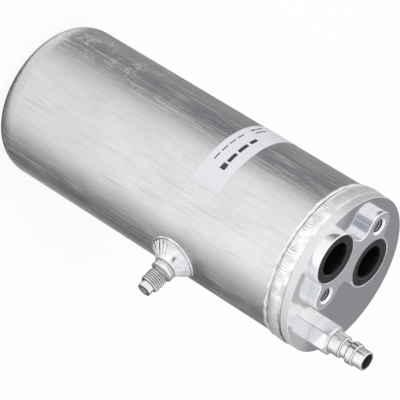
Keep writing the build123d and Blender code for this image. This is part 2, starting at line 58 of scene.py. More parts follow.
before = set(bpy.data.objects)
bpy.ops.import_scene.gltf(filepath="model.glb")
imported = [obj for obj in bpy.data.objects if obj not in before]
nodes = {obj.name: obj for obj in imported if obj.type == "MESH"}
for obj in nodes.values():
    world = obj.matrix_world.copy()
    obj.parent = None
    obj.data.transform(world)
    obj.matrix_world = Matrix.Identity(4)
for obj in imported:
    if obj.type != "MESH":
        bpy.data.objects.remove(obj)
cad_low, cad_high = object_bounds()
MM = 0.001
IMAGE_PIXELS = 400
SENSOR_MM = 36.0
SWITCH_AZIMUTH = math.radians(-37.5)
SWITCH_LEVEL = 135.5
HEX_CORNER = 11.0

# Places on the CAD in mm: the can's radius, the tapped holes, the left boss and the service valve's axis
CAN_RADIUS = 45.0
UPPER_HOLE = (-31.5, -0.2)
LOWER_HOLE = (9.9, -20.0)
BOSS = (-10.8, -28.9)
VALVE_AXIS = (33.0, 1.1)

# Directions: up, and at the switch port out of the can and across it towards the camera
UP = Vector((0.0, 0.0, 1.0))
OUTWARD = Vector((math.cos(SWITCH_AZIMUTH), math.sin(SWITCH_AZIMUTH), 0.0))
ASIDE = Vector((math.sin(SWITCH_AZIMUTH), -math.cos(SWITCH_AZIMUTH), 0.0))

# Printed bars of the label: middle and half width in degrees round the can, level and half height in mm
LABEL_BARS = [
    (-122.0, 2.6, 144.5, 1.6), (-130.5, 4.2, 144.5, 1.1), (-141.5, 4.6, 144.5, 1.1),
    (-152.0, 3.4, 144.5, 1.1), (-126.0, 3.0, 137.0, 0.35), (-134.0, 3.0, 137.0, 0.35),
    (-142.0, 3.0, 137.0, 0.35), (-150.0, 3.0, 137.0, 0.35), (-164.0, 2.5, 136.5, 0.5),
    (-171.0, 3.5, 136.5, 0.5), (-168.0, 6.0, 139.5, 0.4),
]

# Grey panels seen in the metal, as degrees from the camera's side and colour: below eye level, low down
# and above eye level
LOW_PANELS = [
    (-180, "#a5a3a3"), (-167, "#989696"), (-128, "#9a9898"), (-116, "#807f84"), (-103, "#605f66"),
    (-90, "#5a5962"), (-77, "#77757b"), (-66, "#a8a6aa"), (-54, "#d6d5d4"), (-42, "#f4f4f3"), (20, "#ffffff"),
    (58, "#ffffff"), (68, "#ededed"), (79, "#d0d0d0"), (90, "#b8b8b7"), (103, "#8f8f8e"), (116, "#656564"),
    (128, "#5c5c5b"), (141, "#585857"), (154, "#7c7c7b"), (167, "#d0d0d0"), (180, "#f0f0f0"),
]
FOOT_PANELS = [
    (-180, "#4c4c4e"), (-160, "#58585a"), (-145, "#f0f0f0"), (62, "#f0f0f0"), (92, "#858488"),
    (145, "#77767a"), (160, "#58585a"), (180, "#4c4c4e"),
]
HIGH_PANELS = [
    (-180, "#8c8c90"), (-162, "#949498"), (-142, "#f0f0f0"), (-20, "#f6f6f6"), (0, "#eeeff0"),
    (20, "#d5d8dc"), (76, "#d5d8dc"), (96, "#f2f2f2"), (140, "#c9c9cc"), (160, "#949498"),
    (180, "#8c8c90"),
]


def linear(hex_colour, alpha=1.0):
    """sRGB hex colour as linear RGBA."""
    def channel(byte):
        value = byte / 255
        return value / 12.92 if value <= 0.04045 else ((value + 0.055) / 1.055) ** 2.4

    digits = hex_colour.lstrip("#")
    rgb = [channel(int(digits[i:i + 2], 16)) for i in (0, 2, 4)]
    return (*rgb, alpha)


def put(tree, value, socket):
    """Gives a socket a value or a link: an output, or a node by its first output in use."""
    if isinstance(value, bpy.types.Node):
        value = next(output for output in value.outputs if output.enabled)
    if isinstance(value, bpy.types.NodeSocket):
        tree.links.new(value, socket)
    else:
        socket.default_value = linear(value) if isinstance(value, str) else value


def node(tree, kind, sockets=None, **attributes):
    """Adds a shader node with its attributes, and puts values and links into its sockets."""
    new = tree.nodes.new(kind)
    for name, value in attributes.items():
        setattr(new, name, value)
    for socket, value in (sockets or {}).items():
        put(tree, value, new.inputs[socket])
    return new


def material(name, base, metallic, roughness):
    """A material with one Principled shader; returns it with its tree and shader."""
    made = bpy.data.materials.new(name)
    made.use_nodes = True
    tree = made.node_tree
    shader = tree.nodes["Principled BSDF"]
    put(tree, base, shader.inputs["Base Color"])
    put(tree, metallic, shader.inputs["Metallic"])
    put(tree, roughness, shader.inputs["Roughness"])
    return made, tree, shader


def dress(name, finish):
    """Gives a CAD node's mesh one finish."""
    mesh = nodes[name].data
    mesh.materials.clear()
    mesh.materials.append(finish)


def deselect():
    if bpy.context.mode != "OBJECT":
        bpy.ops.object.mode_set(mode="OBJECT")
    bpy.ops.object.select_all(action="DESELECT")


class DrierSizes(bpy.types.PropertyGroup):
    """Sizes that a user would change, in metres."""
    rim_radius: bpy.props.FloatProperty(
        name="Rim radius", description="Outer radius of the header's rim", default=45.9 * MM, unit="LENGTH")
    front_level: bpy.props.FloatProperty(
        name="Front level", description="Height of the block's front over the base", default=221.6 * MM,
        unit="LENGTH")
    face_level: bpy.props.FloatProperty(
        name="Face level", description="Height of the header's disc over the base", default=216.0 * MM,
        unit="LENGTH")
    switch_pitch: bpy.props.FloatProperty(
        name="Switch thread pitch", description="Pitch of the switch port's thread", default=1.27 * MM,
        unit="LENGTH")
    bolt_pitch: bpy.props.FloatProperty(
        name="Bolt thread pitch", description="Pitch of the tapped holes' threads", default=1.25 * MM,
        unit="LENGTH")
    ripples: bpy.props.IntProperty(
        name="Ripples", description="Ripples round the rim's weld bead", default=180)
    floor_size: bpy.props.FloatProperty(
        name="Floor size", description="Side of the pale floor", default=14.0, unit="LENGTH")


class DrierColours(bpy.types.PropertyGroup):
    """Colours that a user would change."""
    can: bpy.props.FloatVectorProperty(
        name="Can", description="Drawn aluminium of the can", size=4, subtype="COLOR",
        default=linear("#e0e0e0"))
    machined: bpy.props.FloatVectorProperty(
        name="Header", description="Machined aluminium of the header's disc", size=4, subtype="COLOR",
        default=linear("#ececee"))
    plug: bpy.props.FloatVectorProperty(
        name="Plugs", description="Black polyethylene of the transport plugs", size=4, subtype="COLOR",
        default=linear("#19181c"))
    paper: bpy.props.FloatVectorProperty(
        name="Label", description="Coated paper of the label", size=4, subtype="COLOR",
        default=linear("#dedde4"))
    floor: bpy.props.FloatVectorProperty(
        name="Floor", description="Pale floor and backdrop", size=4, subtype="COLOR",
        default=linear("#ffffff"))


class DRIER_OT_stage(bpy.types.Operator):
    """Makes the pale floor, the lamps, the studio surroundings and the camera"""
    bl_idname = "drier.stage"
    bl_label = "Stage and camera"

    def execute(self, context):
        sizes, colours = context.scene.drier_sizes, context.scene.drier_colours
        deselect()
        bpy.ops.mesh.primitive_plane_add(size=sizes.floor_size, location=(0, 0, cad_low.z - 0.05 * MM))
        floor = context.object
        floor.name = "floor"
        floor_finish, tree, shader = material("white_floor", colours.floor, 0.0, 0.9)
        # The camera sees the floor mostly as plain white, with a faint share of its lit and shaded colour
        path = node(tree, "ShaderNodeLightPath")
        seen = node(tree, "ShaderNodeEmission", {"Color": colours.floor, "Strength": 1.0})
        share = node(tree, "ShaderNodeMath", {
            0: path.outputs["Is Camera Ray"], 1: 0.85}, operation="MULTIPLY")
        mix = node(tree, "ShaderNodeMixShader", {0: share, 1: shader.outputs[0], 2: seen.outputs[0]})
        put(tree, mix.outputs[0], tree.nodes["Material Output"].inputs["Surface"])
        floor.data.materials.append(floor_finish)
        floor.visible_glossy = False
        self.surroundings(context)
        self.lamps()
        self.camera(context)
        return {"FINISHED"}

    def surroundings(self, context):
        """World: even light for dull surfaces, and a tent of bright and grey panels for metal."""
        world = bpy.data.worlds.new("studio")
        context.scene.world = world
        world.use_nodes = True
        tree = world.node_tree
        tree.nodes.clear()
        coords = node(tree, "ShaderNodeTexCoord")
        # Turned about Z so that -Y points at the camera's side of the stage
        toward = node(tree, "ShaderNodeMapping", {
            "Rotation": (0.0, 0.0, math.radians(12.3)), "Vector": coords.outputs["Generated"]})
        parts = node(tree, "ShaderNodeSeparateXYZ", {0: toward.outputs[0]})
        back = node(tree, "ShaderNodeMath", {0: parts.outputs["Y"], 1: -1.0}, operation="MULTIPLY")
        angle = node(tree, "ShaderNodeMath", {
            0: parts.outputs["X"], 1: back.outputs[0]}, operation="ARCTAN2")
        turn = node(tree, "ShaderNodeMapRange", {0: angle.outputs[0], 1: -math.pi, 2: math.pi})
        # The bright panel below eye level widens upwards
        widen = node(tree, "ShaderNodeMapRange", {
            0: parts.outputs["Z"], 1: -0.55, 2: -0.41, 3: 1.1, 4: 0.89})
        wide = node(tree, "ShaderNodeMath", {0: angle.outputs[0], 1: widen}, operation="MULTIPLY")
        wide_turn = node(tree, "ShaderNodeMapRange", {0: wide, 1: -math.pi, 2: math.pi})
        low = self.panels(tree, wide_turn, LOW_PANELS)
        # The dark panels fade upwards
        fade = node(tree, "ShaderNodeMapRange", {0: parts.outputs["Z"], 1: -0.48, 2: -0.435})
        lifted = node(tree, "ShaderNodeMix", {
            0: fade, 6: low.outputs[0], 7: "#7c7c80"}, data_type="RGBA", blend_type="LIGHTEN")
        high = self.panels(tree, turn, HIGH_PANELS)
        rise = node(tree, "ShaderNodeMapRange", {
            0: parts.outputs["Z"], 1: -0.15, 2: 0.15}, interpolation_type="SMOOTHSTEP")
        sides = node(tree, "ShaderNodeMix", {
            0: rise.outputs[0], 6: lifted.outputs[2], 7: high.outputs[0]}, data_type="RGBA")
        top = node(tree, "ShaderNodeMapRange", {
            0: parts.outputs["Z"], 1: 0.72, 2: 0.88}, interpolation_type="SMOOTHSTEP")
        upper = node(tree, "ShaderNodeMix", {
            0: top.outputs[0], 6: sides.outputs[2], 7: "#f2f3f5"}, data_type="RGBA")
        foot = node(tree, "ShaderNodeMapRange", {0: parts.outputs["Z"], 1: -0.66, 2: -0.56, 3: 1.0, 4: 0.0})
        low_down = self.panels(tree, turn, FOOT_PANELS)
        tent_colour = node(tree, "ShaderNodeMix", {
            0: foot, 6: upper, 7: low_down.outputs[0]}, data_type="RGBA")
        path = node(tree, "ShaderNodeLightPath")
        even = node(tree, "ShaderNodeBackground", {"Color": "#ffffff", "Strength": 0.8})
        tent = node(tree, "ShaderNodeBackground", {"Strength": 1.1, "Color": tent_colour})
        white = node(tree, "ShaderNodeBackground", {"Color": "#ffffff", "Strength": 1.0})
        shiny = node(tree, "ShaderNodeMixShader", {
            0: path.outputs["Is Glossy Ray"], 1: even.outputs[0], 2: tent.outputs[0]})
        mix = node(tree, "ShaderNodeMixShader", {
            0: path.outputs["Is Camera Ray"], 1: shiny.outputs[0], 2: white.outputs[0]})
        node(tree, "ShaderNodeOutputWorld", {0: mix.outputs[0]})

    def panels(self, tree, turn, stops):
        """Ramp of grey panels round the stage."""
        ramp = node(tree, "ShaderNodeValToRGB", {0: turn.outputs[0]})
        elements = ramp.color_ramp.elements
        for i, (degrees, colour) in enumerate(stops):
            place = (degrees + 180) / 360
            spot = elements[0] if i == 0 else elements[-1] if i == len(stops) - 1 else elements.new(place)
            spot.position = place
            spot.color = linear(colour)
        return ramp

    def lamps(self):
        """One large soft key on the camera's side."""
        bpy.ops.object.light_add(type="AREA", location=(-0.9, -1.3, 1.5))
        key = bpy.context.object
        key.name = "key"
        key.data.shape = "SQUARE"
        key.data.size = 1.2
        key.data.energy = 14.0
        key.visible_glossy = False
        key.rotation_euler = (Vector((0, 0, 0.12)) - key.location).to_track_quat("-Z", "Y").to_euler()

    def camera(self, context):
        """Camera of the photograph, solved from the can's outline in it."""
        focal_pixels = 2631.4
        place = Vector((-264.6, -1213.58, 797.72)) * MM
        right = Vector((-0.4269, 0.51229, 0.74519))
        up = Vector((-0.88379, -0.06185, -0.46378))
        back = right.cross(up)
        data = bpy.data.cameras.new("camera")
        data.sensor_width = SENSOR_MM
        data.lens = focal_pixels / IMAGE_PIXELS * SENSOR_MM
        data.clip_start = 0.01
        data.clip_end = 100.0
        camera = bpy.data.objects.new("camera", data)
        context.collection.objects.link(camera)
        turn = Matrix((right, up, back)).transposed().to_4x4()
        camera.matrix_world = Matrix.Translation(place) @ turn
        context.scene.camera = camera


def turned(name, profile, steps):
    """Ring turned about Z from a closed outline of (radius, height) points in metres."""
    deselect()
    bpy.ops.mesh.primitive_circle_add(vertices=len(profile), radius=1.0)
    piece = bpy.context.object
    piece.name = piece.data.name = name
    for vertex, (radius, height) in zip(piece.data.vertices, profile):
        vertex.co = (radius, 0.0, height)
    screw = piece.modifiers.new("turn", "SCREW")
    screw.axis = "Z"
    screw.angle = 2 * math.pi
    screw.steps = screw.render_steps = steps
    screw.use_merge_vertices = True
    screw.merge_threshold = 1e-6
    bpy.ops.object.modifier_apply(modifier=screw.name)
    return piece


def outward_faces(piece):
    """Faces turned to look outward, after the mesh has got its shape."""
    deselect()
    piece.select_set(True)
    bpy.context.view_layer.objects.active = piece
    bpy.ops.object.mode_set(mode="EDIT")
    bpy.ops.mesh.select_all(action="SELECT")
    bpy.ops.mesh.normals_make_consistent(inside=False)
    bpy.ops.object.mode_set(mode="OBJECT")


def smooth(piece, degrees):
    """Smooth shading that keeps edges sharper than an angle."""
    deselect()
    piece.select_set(True)
    bpy.context.view_layer.objects.active = piece
    bpy.ops.object.shade_smooth_by_angle(angle=math.radians(degrees))


def mark_groove_shade(piece, depths):
    """Keeps how deep each vertex lies in a groove, 0 to 1, for the finishes to paint as shade."""
    layer = piece.data.attributes.new("groove_shade", "FLOAT", "POINT")
    layer.data.foreach_set("value", depths)


def wander(x, y, z=0.0):
    """Smooth noise between about -1 and 1, the same at each run."""
    return perlin.noise(Vector((x, y, z)))


class DRIER_OT_can(bpy.types.Operator):
    """Gives the can the finish of drawn aluminium"""
    bl_idname = "drier.can"
    bl_label = "Can finish"

    def execute(self, context):
        # Drawn aluminium: dull silver with faint lines along the draw and round the can, cloudy
        # patches and a few bright scrapes; real lines are finer and are drawn wider so that they show
        finish, tree, shader = material("drawn_aluminium", "#d9dadb", 1.0, 0.28)
        where = node(tree, "ShaderNodeTexCoord").outputs["Object"]
        parts = node(tree, "ShaderNodeSeparateXYZ", {0: where})
        lines = node(tree, "ShaderNodeTexNoise", {
            "Vector": node(tree, "ShaderNodeMapping", {"Vector": where, "Scale": (1.0, 1.0, 0.06)}),
            "Scale": 1100.0, "Detail": 3.0})
        rings = node(tree, "ShaderNodeTexNoise", {
            "Vector": node(tree, "ShaderNodeMapping", {"Vector": where, "Scale": (0.05, 0.05, 1.0)}),
            "Scale": 1000.0, "Detail": 3.0})
        colour = context.scene.drier_colours.can
        clouds = node(tree, "ShaderNodeTexNoise", {
            "Vector": node(tree, "ShaderNodeMapping", {"Vector": where, "Scale": (1.0, 1.0, 0.6)}),
            "Scale": 45.0, "Detail": 5.0})
        tone = node(tree, "ShaderNodeMix", {
            0: node(tree, "ShaderNodeMapRange", {0: lines, 1: 0.35, 2: 0.65}), 6: colour,
            7: "#e9e9e9"}, data_type="RGBA")
        tone = node(tree, "ShaderNodeMix", {
            0: node(tree, "ShaderNodeMapRange", {0: rings, 1: 0.4, 2: 0.7, 3: 0.0, 4: 0.25}), 6: tone,
            7: "#f4f4f4"}, data_type="RGBA")
        tone = node(tree, "ShaderNodeMix", {
            0: node(tree, "ShaderNodeMapRange", {0: clouds, 1: 0.35, 2: 0.7, 3: 0.0, 4: 0.35}), 6: tone,
            7: "#cdccce"}, data_type="RGBA")
        # The can gets a little paler towards its welded end
        rise = node(tree, "ShaderNodeMapRange", {0: parts.outputs["Z"], 1: 0.0, 2: 0.19, 3: 0.35, 4: 0.0})
        tone = node(tree, "ShaderNodeMix", {0: rise, 6: tone, 7: "#b4b5b8"}, data_type="RGBA")
        # Scrapes: short bright marks, thickest on one side near the closed end and sparse elsewhere
        across = node(tree, "ShaderNodeTexNoise", {
            "Vector": node(tree, "ShaderNodeMapping", {"Vector": where, "Scale": (0.1, 0.1, 1.0)}),
            "Scale": 2000.0, "Detail": 4.0})
        along = node(tree, "ShaderNodeTexNoise", {
            "Vector": node(tree, "ShaderNodeMapping", {"Vector": where, "Scale": (1.0, 1.0, 0.12)}),
            "Scale": 2200.0, "Detail": 4.0})
        across = node(tree, "ShaderNodeMapRange", {0: across, 1: 0.58, 2: 0.63, 3: 0.0, 4: 0.45})
        along = node(tree, "ShaderNodeMapRange", {0: along, 1: 0.57, 2: 0.62, 3: 0.0, 4: 0.85})
        marks = node(tree, "ShaderNodeMath", {0: across, 1: along}, operation="MAXIMUM")
        around = node(tree, "ShaderNodeMath", {
            0: parts.outputs["Y"], 1: parts.outputs["X"]}, operation="ARCTAN2")
        apart = node(tree, "ShaderNodeMath", {
            0: node(tree, "ShaderNodeMath", {
                0: around, 1: -2.75}, operation="SUBTRACT")}, operation="ABSOLUTE")
        aside = node(tree, "ShaderNodeMapRange", {0: apart, 1: 0.25, 2: 0.5, 3: 1.0, 4: 0.0})
        low_end = node(tree, "ShaderNodeMapRange", {
            0: parts.outputs["Z"], 1: 60 * MM, 2: 120 * MM, 3: 1.0, 4: 0.0})
        clusters = node(tree, "ShaderNodeTexNoise", {"Vector": where, "Scale": 110.0, "Detail": 3.0})
        thick = node(tree, "ShaderNodeMath", {0: aside, 1: low_end}, operation="MULTIPLY")
        worn = node(tree, "ShaderNodeMath", {
            0: node(tree, "ShaderNodeMapRange", {0: clusters, 1: 0.46, 2: 0.66}),
            1: thick}, operation="MULTIPLY")
        worn = node(tree, "ShaderNodeMath", {
            0: worn,
            1: node(tree, "ShaderNodeMapRange", {
                0: clusters, 1: 0.6, 2: 0.74, 3: 0.0, 4: 0.35})}, operation="MAXIMUM")
        scrapes = node(tree, "ShaderNodeMath", {0: marks, 1: worn}, operation="MULTIPLY")
        tone = node(tree, "ShaderNodeMix", {0: scrapes, 6: tone, 7: "#ffffff"}, data_type="RGBA")
        # Painted shade: a soft grey halo beside the switch port's weld stands in for the bead's dark
        # reflection in the can
        port = (OUTWARD * 44.0 + UP * (SWITCH_LEVEL + 8.0)) * MM
        apart = node(tree, "ShaderNodeVectorMath", {0: where, 1: port}, operation="DISTANCE").outputs[1]
        tone = node(tree, "ShaderNodeMix", {
            0: node(tree, "ShaderNodeMapRange", {
                0: apart, 1: 12 * MM, 2: 26 * MM, 3: 0.4, 4: 0.0}, interpolation_type="SMOOTHSTEP"),
            6: tone, 7: "#8e8e92"}, data_type="RGBA")
        put(tree, tone, shader.inputs["Base Color"])
        rough = node(tree, "ShaderNodeMath", {
            0: node(tree, "ShaderNodeMapRange", {0: clouds, 1: 0.3, 2: 0.7, 3: 0.25, 4: 0.31}),
            1: node(tree, "ShaderNodeMapRange", {
                0: lines, 1: 0.3, 2: 0.7, 3: -0.015, 4: 0.02})}, operation="ADD")
        # Scratched streaks are rougher, so they show pale where the can mirrors something dark
        streaks = node(tree, "ShaderNodeTexNoise", {
            "Vector": node(tree, "ShaderNodeMapping", {"Vector": where, "Scale": (1.0, 1.0, 0.03)}),
            "Scale": 1300.0, "Detail": 2.0})
        streaks = node(tree, "ShaderNodeMapRange", {0: streaks, 1: 0.54, 2: 0.64, 3: 0.0, 4: 0.26})
        rough = node(tree, "ShaderNodeMath", {0: rough, 1: streaks}, operation="ADD")
        put(tree, node(tree, "ShaderNodeMath", {0: scrapes, 1: 0.6, 2: rough}, operation="MULTIPLY_ADD"),
            shader.inputs["Roughness"])
        waves = node(tree, "ShaderNodeBump", {
            "Distance": 0.3 * MM,
            "Height": node(tree, "ShaderNodeTexNoise", {"Vector": where, "Scale": 28.0, "Detail": 2.0})})
        draw = node(tree, "ShaderNodeBump", {"Distance": 0.022 * MM, "Height": lines, "Normal": waves})
        fine = node(tree, "ShaderNodeBump", {"Distance": 0.008 * MM, "Height": rings, "Normal": draw})
        put(tree, node(tree, "ShaderNodeBump", {"Distance": 0.03 * MM, "Height": scrapes, "Normal": fine}),
            shader.inputs["Normal"])
        dress("can_body", finish)
        return {"FINISHED"}


class DRIER_OT_header(bpy.types.Operator):
    """Gives the header its machined finishes and threads its tapped holes"""
    bl_idname = "drier.header"
    bl_label = "Header and its threads"

    def execute(self, context):
        sizes = context.scene.drier_sizes
        # Machined aluminium: the turned disc is almost a mirror, the milled front of the block is
        # a little paler and softer, its walls are bright, the front's edge has a painted highlight
        # and the turned rim is matt and pale
        finish, tree, shader = material("machined_aluminium", "#e4e4e6", 1.0, 0.08)
        where = node(tree, "ShaderNodeTexCoord").outputs["Object"]
        parts = node(tree, "ShaderNodeSeparateXYZ", {0: where})
        x, y, z = (parts.outputs[i] for i in range(3))
        radius = node(tree, "ShaderNodeMath", {
            0: x, 1: x,
            2: node(tree, "ShaderNodeMath", {0: y, 1: y}, operation="MULTIPLY")}, operation="MULTIPLY_ADD")
        radius = node(tree, "ShaderNodeMath", {0: radius}, operation="SQRT")
        front = node(tree, "ShaderNodeMath", {
            0: z, 1: sizes.front_level - 0.05 * MM}, operation="GREATER_THAN")
        # Painted highlight: a white, less metallic band just under the front's edge
        edge_highlight = node(tree, "ShaderNodeMath", {
            0: z, 1: sizes.front_level - 0.3 * MM, 2: 0.25 * MM}, operation="COMPARE")
        walls = node(tree, "ShaderNodeMath", {
            0: z, 1: sizes.face_level + 0.02 * MM}, operation="GREATER_THAN")
        # Painted reflection: two blue-grey stripes on the upper lug's wall stand in for the pocket beside it
        # mirrored there
        lug_x = node(tree, "ShaderNodeMath", {0: x, 1: UPPER_HOLE[0] * MM}, operation="SUBTRACT")
        lug_y = node(tree, "ShaderNodeMath", {0: y, 1: UPPER_HOLE[1] * MM}, operation="SUBTRACT")
        near_lug = node(tree, "ShaderNodeMath", {
            0: lug_x, 1: lug_x,
            2: node(tree, "ShaderNodeMath", {
                0: lug_y, 1: lug_y}, operation="MULTIPLY")}, operation="MULTIPLY_ADD")
        near_lug = node(tree, "ShaderNodeMath", {
            0: node(tree, "ShaderNodeMath", {0: near_lug}, operation="SQRT"),
            1: 11 * MM}, operation="LESS_THAN")
        turn = node(tree, "ShaderNodeMath", {0: lug_y, 1: lug_x}, operation="ARCTAN2")
        painted_reflections = None
        for middle, half in ((-1.66, 0.13), (-1.25, 0.13)):
            away = node(tree, "ShaderNodeMath", {
                0: node(tree, "ShaderNodeMath", {
                    0: turn, 1: middle}, operation="SUBTRACT")}, operation="ABSOLUTE")
            stripe = node(tree, "ShaderNodeMapRange", {0: away, 1: half, 2: half + 0.1, 3: 1.0, 4: 0.0})
            painted_reflections = stripe if painted_reflections is None else node(tree, "ShaderNodeMath", {
                0: painted_reflections, 1: stripe}, operation="MAXIMUM")
        painted_reflections = node(tree, "ShaderNodeMath", {
            0: painted_reflections,
            1: node(tree, "ShaderNodeMath", {
                0: near_lug, 1: walls}, operation="MULTIPLY")}, operation="MULTIPLY")
        # Painted reflection: one short dark patch on the left boss's wall stands in for the lug mirrored
        # there
        boss_x = node(tree, "ShaderNodeMath", {0: x, 1: BOSS[0] * MM}, operation="SUBTRACT")
        boss_y = node(tree, "ShaderNodeMath", {0: y, 1: BOSS[1] * MM}, operation="SUBTRACT")
        patch = node(tree, "ShaderNodeMath", {
            0: node(tree, "ShaderNodeMath", {0: boss_y, 1: boss_x}, operation="ARCTAN2"),
            1: -2.3}, operation="SUBTRACT")
        patch = node(tree, "ShaderNodeMath", {0: patch}, operation="ABSOLUTE")
        patch = node(tree, "ShaderNodeMath", {
            0: node(tree, "ShaderNodeMapRange", {0: patch, 1: 0.08, 2: 0.16, 3: 1.0, 4: 0.0}),
            1: walls}, operation="MULTIPLY")
        near_boss = node(tree, "ShaderNodeMath", {
            0: boss_x, 1: boss_x,
            2: node(tree, "ShaderNodeMath", {
                0: boss_y, 1: boss_y}, operation="MULTIPLY")}, operation="MULTIPLY_ADD")
        near_boss = node(tree, "ShaderNodeMath", {
            0: node(tree, "ShaderNodeMath", {0: near_boss}, operation="SQRT"),
            1: 14 * MM}, operation="LESS_THAN")
        patch = node(tree, "ShaderNodeMath", {0: patch, 1: near_boss}, operation="MULTIPLY")
        painted_reflections = node(tree, "ShaderNodeMath", {0: painted_reflections, 1: patch}, operation="MAXIMUM")
        rim = node(tree, "ShaderNodeMath", {
            0: radius, 1: sizes.rim_radius - 0.15 * MM}, operation="GREATER_THAN")
        mill = node(tree, "ShaderNodeTexNoise", {
            "Vector": node(tree, "ShaderNodeMapping", {"Vector": where, "Scale": (1.0, 0.15, 1.0)}),
            "Scale": 320.0, "Detail": 3.0})
        # The disc is paler and duller along the side with the label
        across = node(tree, "ShaderNodeMath", {
            0: x, 1: 0.35,
            2: node(tree, "ShaderNodeMath", {
                0: y, 1: -1.0}, operation="MULTIPLY")}, operation="MULTIPLY_ADD")
        near_side = node(tree, "ShaderNodeMapRange", {
            0: across, 1: 10 * MM, 2: 27 * MM}, interpolation_type="SMOOTHSTEP")
        tone = node(tree, "ShaderNodeMix", {
            0: near_side, 6: context.scene.drier_colours.machined, 7: "#f6f6f7"}, data_type="RGBA")
        tone = node(tree, "ShaderNodeMix", {
            0: node(tree, "ShaderNodeMapRange", {0: mill, 1: 0.3, 2: 0.7, 3: 0.0, 4: 0.12}), 6: tone,
            7: "#ffffff"}, data_type="RGBA")
        tone = node(tree, "ShaderNodeMix", {0: walls, 6: tone, 7: "#f2f2f4"}, data_type="RGBA")
        tone = node(tree, "ShaderNodeMix", {0: painted_reflections, 6: tone, 7: "#b9c0c8"}, data_type="RGBA")
        tone = node(tree, "ShaderNodeMix", {0: front, 6: tone, 7: "#e2e2e5"}, data_type="RGBA")
        tone = node(tree, "ShaderNodeMix", {0: edge_highlight, 6: tone, 7: "#ffffff"}, data_type="RGBA")
        tone = node(tree, "ShaderNodeMix", {0: rim, 6: tone, 7: "#dcdcdf"}, data_type="RGBA")
        # Painted shade in the corners, from ambient occlusion
        corner_shade = node(tree, "ShaderNodeMapRange", {
            0: node(tree, "ShaderNodeAmbientOcclusion", {"Distance": 0.8 * MM}, samples=8).outputs["AO"],
            1: 0.5, 2: 0.85, 3: 0.12, 4: 0.0})
        tone = node(tree, "ShaderNodeMix", {0: corner_shade, 6: tone, 7: "#55565a"}, data_type="RGBA")
        put(tree, tone, shader.inputs["Base Color"])
        rough = node(tree, "ShaderNodeMath", {0: walls, 1: 0.05, 2: 0.11}, operation="MULTIPLY_ADD")
        rough = node(tree, "ShaderNodeMath", {0: front, 1: 0.35, 2: rough}, operation="MULTIPLY_ADD")
        rough = node(tree, "ShaderNodeMath", {0: rim, 1: 0.25, 2: rough}, operation="MULTIPLY_ADD")
        put(tree, rough, shader.inputs["Roughness"])
        metal = node(tree, "ShaderNodeMath", {0: rim, 1: -0.5, 2: 1.0}, operation="MULTIPLY_ADD")
        flat = node(tree, "ShaderNodeMath", {0: 1.0, 1: walls}, operation="SUBTRACT")
        metal = node(tree, "ShaderNodeMath", {
            0: node(tree, "ShaderNodeMath", {0: near_side, 1: flat}, operation="MULTIPLY"), 1: -0.3,
            2: metal}, operation="MULTIPLY_ADD")
        put(tree, node(tree, "ShaderNodeMath", {0: edge_highlight, 1: -0.5, 2: metal}, operation="MULTIPLY_ADD"),
            shader.inputs["Metallic"])
        dress("header", finish)
        # Tapped aluminium: grey, with painted shade in its thread's grooves and darker down the hole
        tapped, tree, shader = material("tapped_aluminium", "#c9c9cb", 0.8, 0.3)
        where = node(tree, "ShaderNodeTexCoord").outputs["Object"]
        parts = node(tree, "ShaderNodeSeparateXYZ", {0: where})
        lit = node(tree, "ShaderNodeMapRange", {
            0: parts.outputs["Z"], 1: sizes.front_level - 6 * MM, 2: sizes.front_level - 1 * MM})
        tone = node(tree, "ShaderNodeMix", {
            0: node(tree, "ShaderNodeAttribute", attribute_name="groove_shade").outputs["Fac"], 6: "#f0f0f1",
            7: "#3b3b3f"}, data_type="RGBA")
        put(tree, node(tree, "ShaderNodeMix", {0: lit, 6: "#1c1c1e", 7: tone}, data_type="RGBA"),
            shader.inputs["Base Color"])
        for place, hole in (("upper", UPPER_HOLE), ("lower", LOWER_HOLE)):
            self.thread(f"bolt_thread_{place}", hole, sizes, tapped)
        return {"FINISHED"}

    def thread(self, name, hole, sizes, finish):
        """Thread ridges inside one tapped hole."""
        outer, root, crest = 3.5 * MM, 3.39 * MM, 2.95 * MM
        top, depth, rows = -0.9 * MM, 12.5 * MM, 120
        heights = [top - depth * i / rows for i in range(rows + 1)]
        profile = [(outer, heights[0])] + [(root, height) for height in heights] + [(outer, heights[-1])]
        piece = turned(name, profile, 72)
        depths = []
        for vertex in piece.data.vertices:
            x, y, z = vertex.co
            ridge = 0.0
            if math.hypot(x, y) < outer - 0.05 * MM:
                phase = (z / sizes.bolt_pitch + math.atan2(y, x) / (2 * math.pi)) % 1.0
                ridge = max(0.0, 1 - abs(phase - 0.5) * 2.6) * min(1.0, (top - z) / (0.8 * MM))
                scale = (root - (root - crest) * ridge) / root
                vertex.co = (x * scale, y * scale, z)
            # Painted shade in the thread's valleys
            depths.append(1.0 - ridge)
            vertex.co += Vector((hole[0] * MM, hole[1] * MM, sizes.front_level))
        mark_groove_shade(piece, depths)
        outward_faces(piece)
        smooth(piece, 55)
        piece.data.materials.append(finish)
        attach(piece, "vessel")


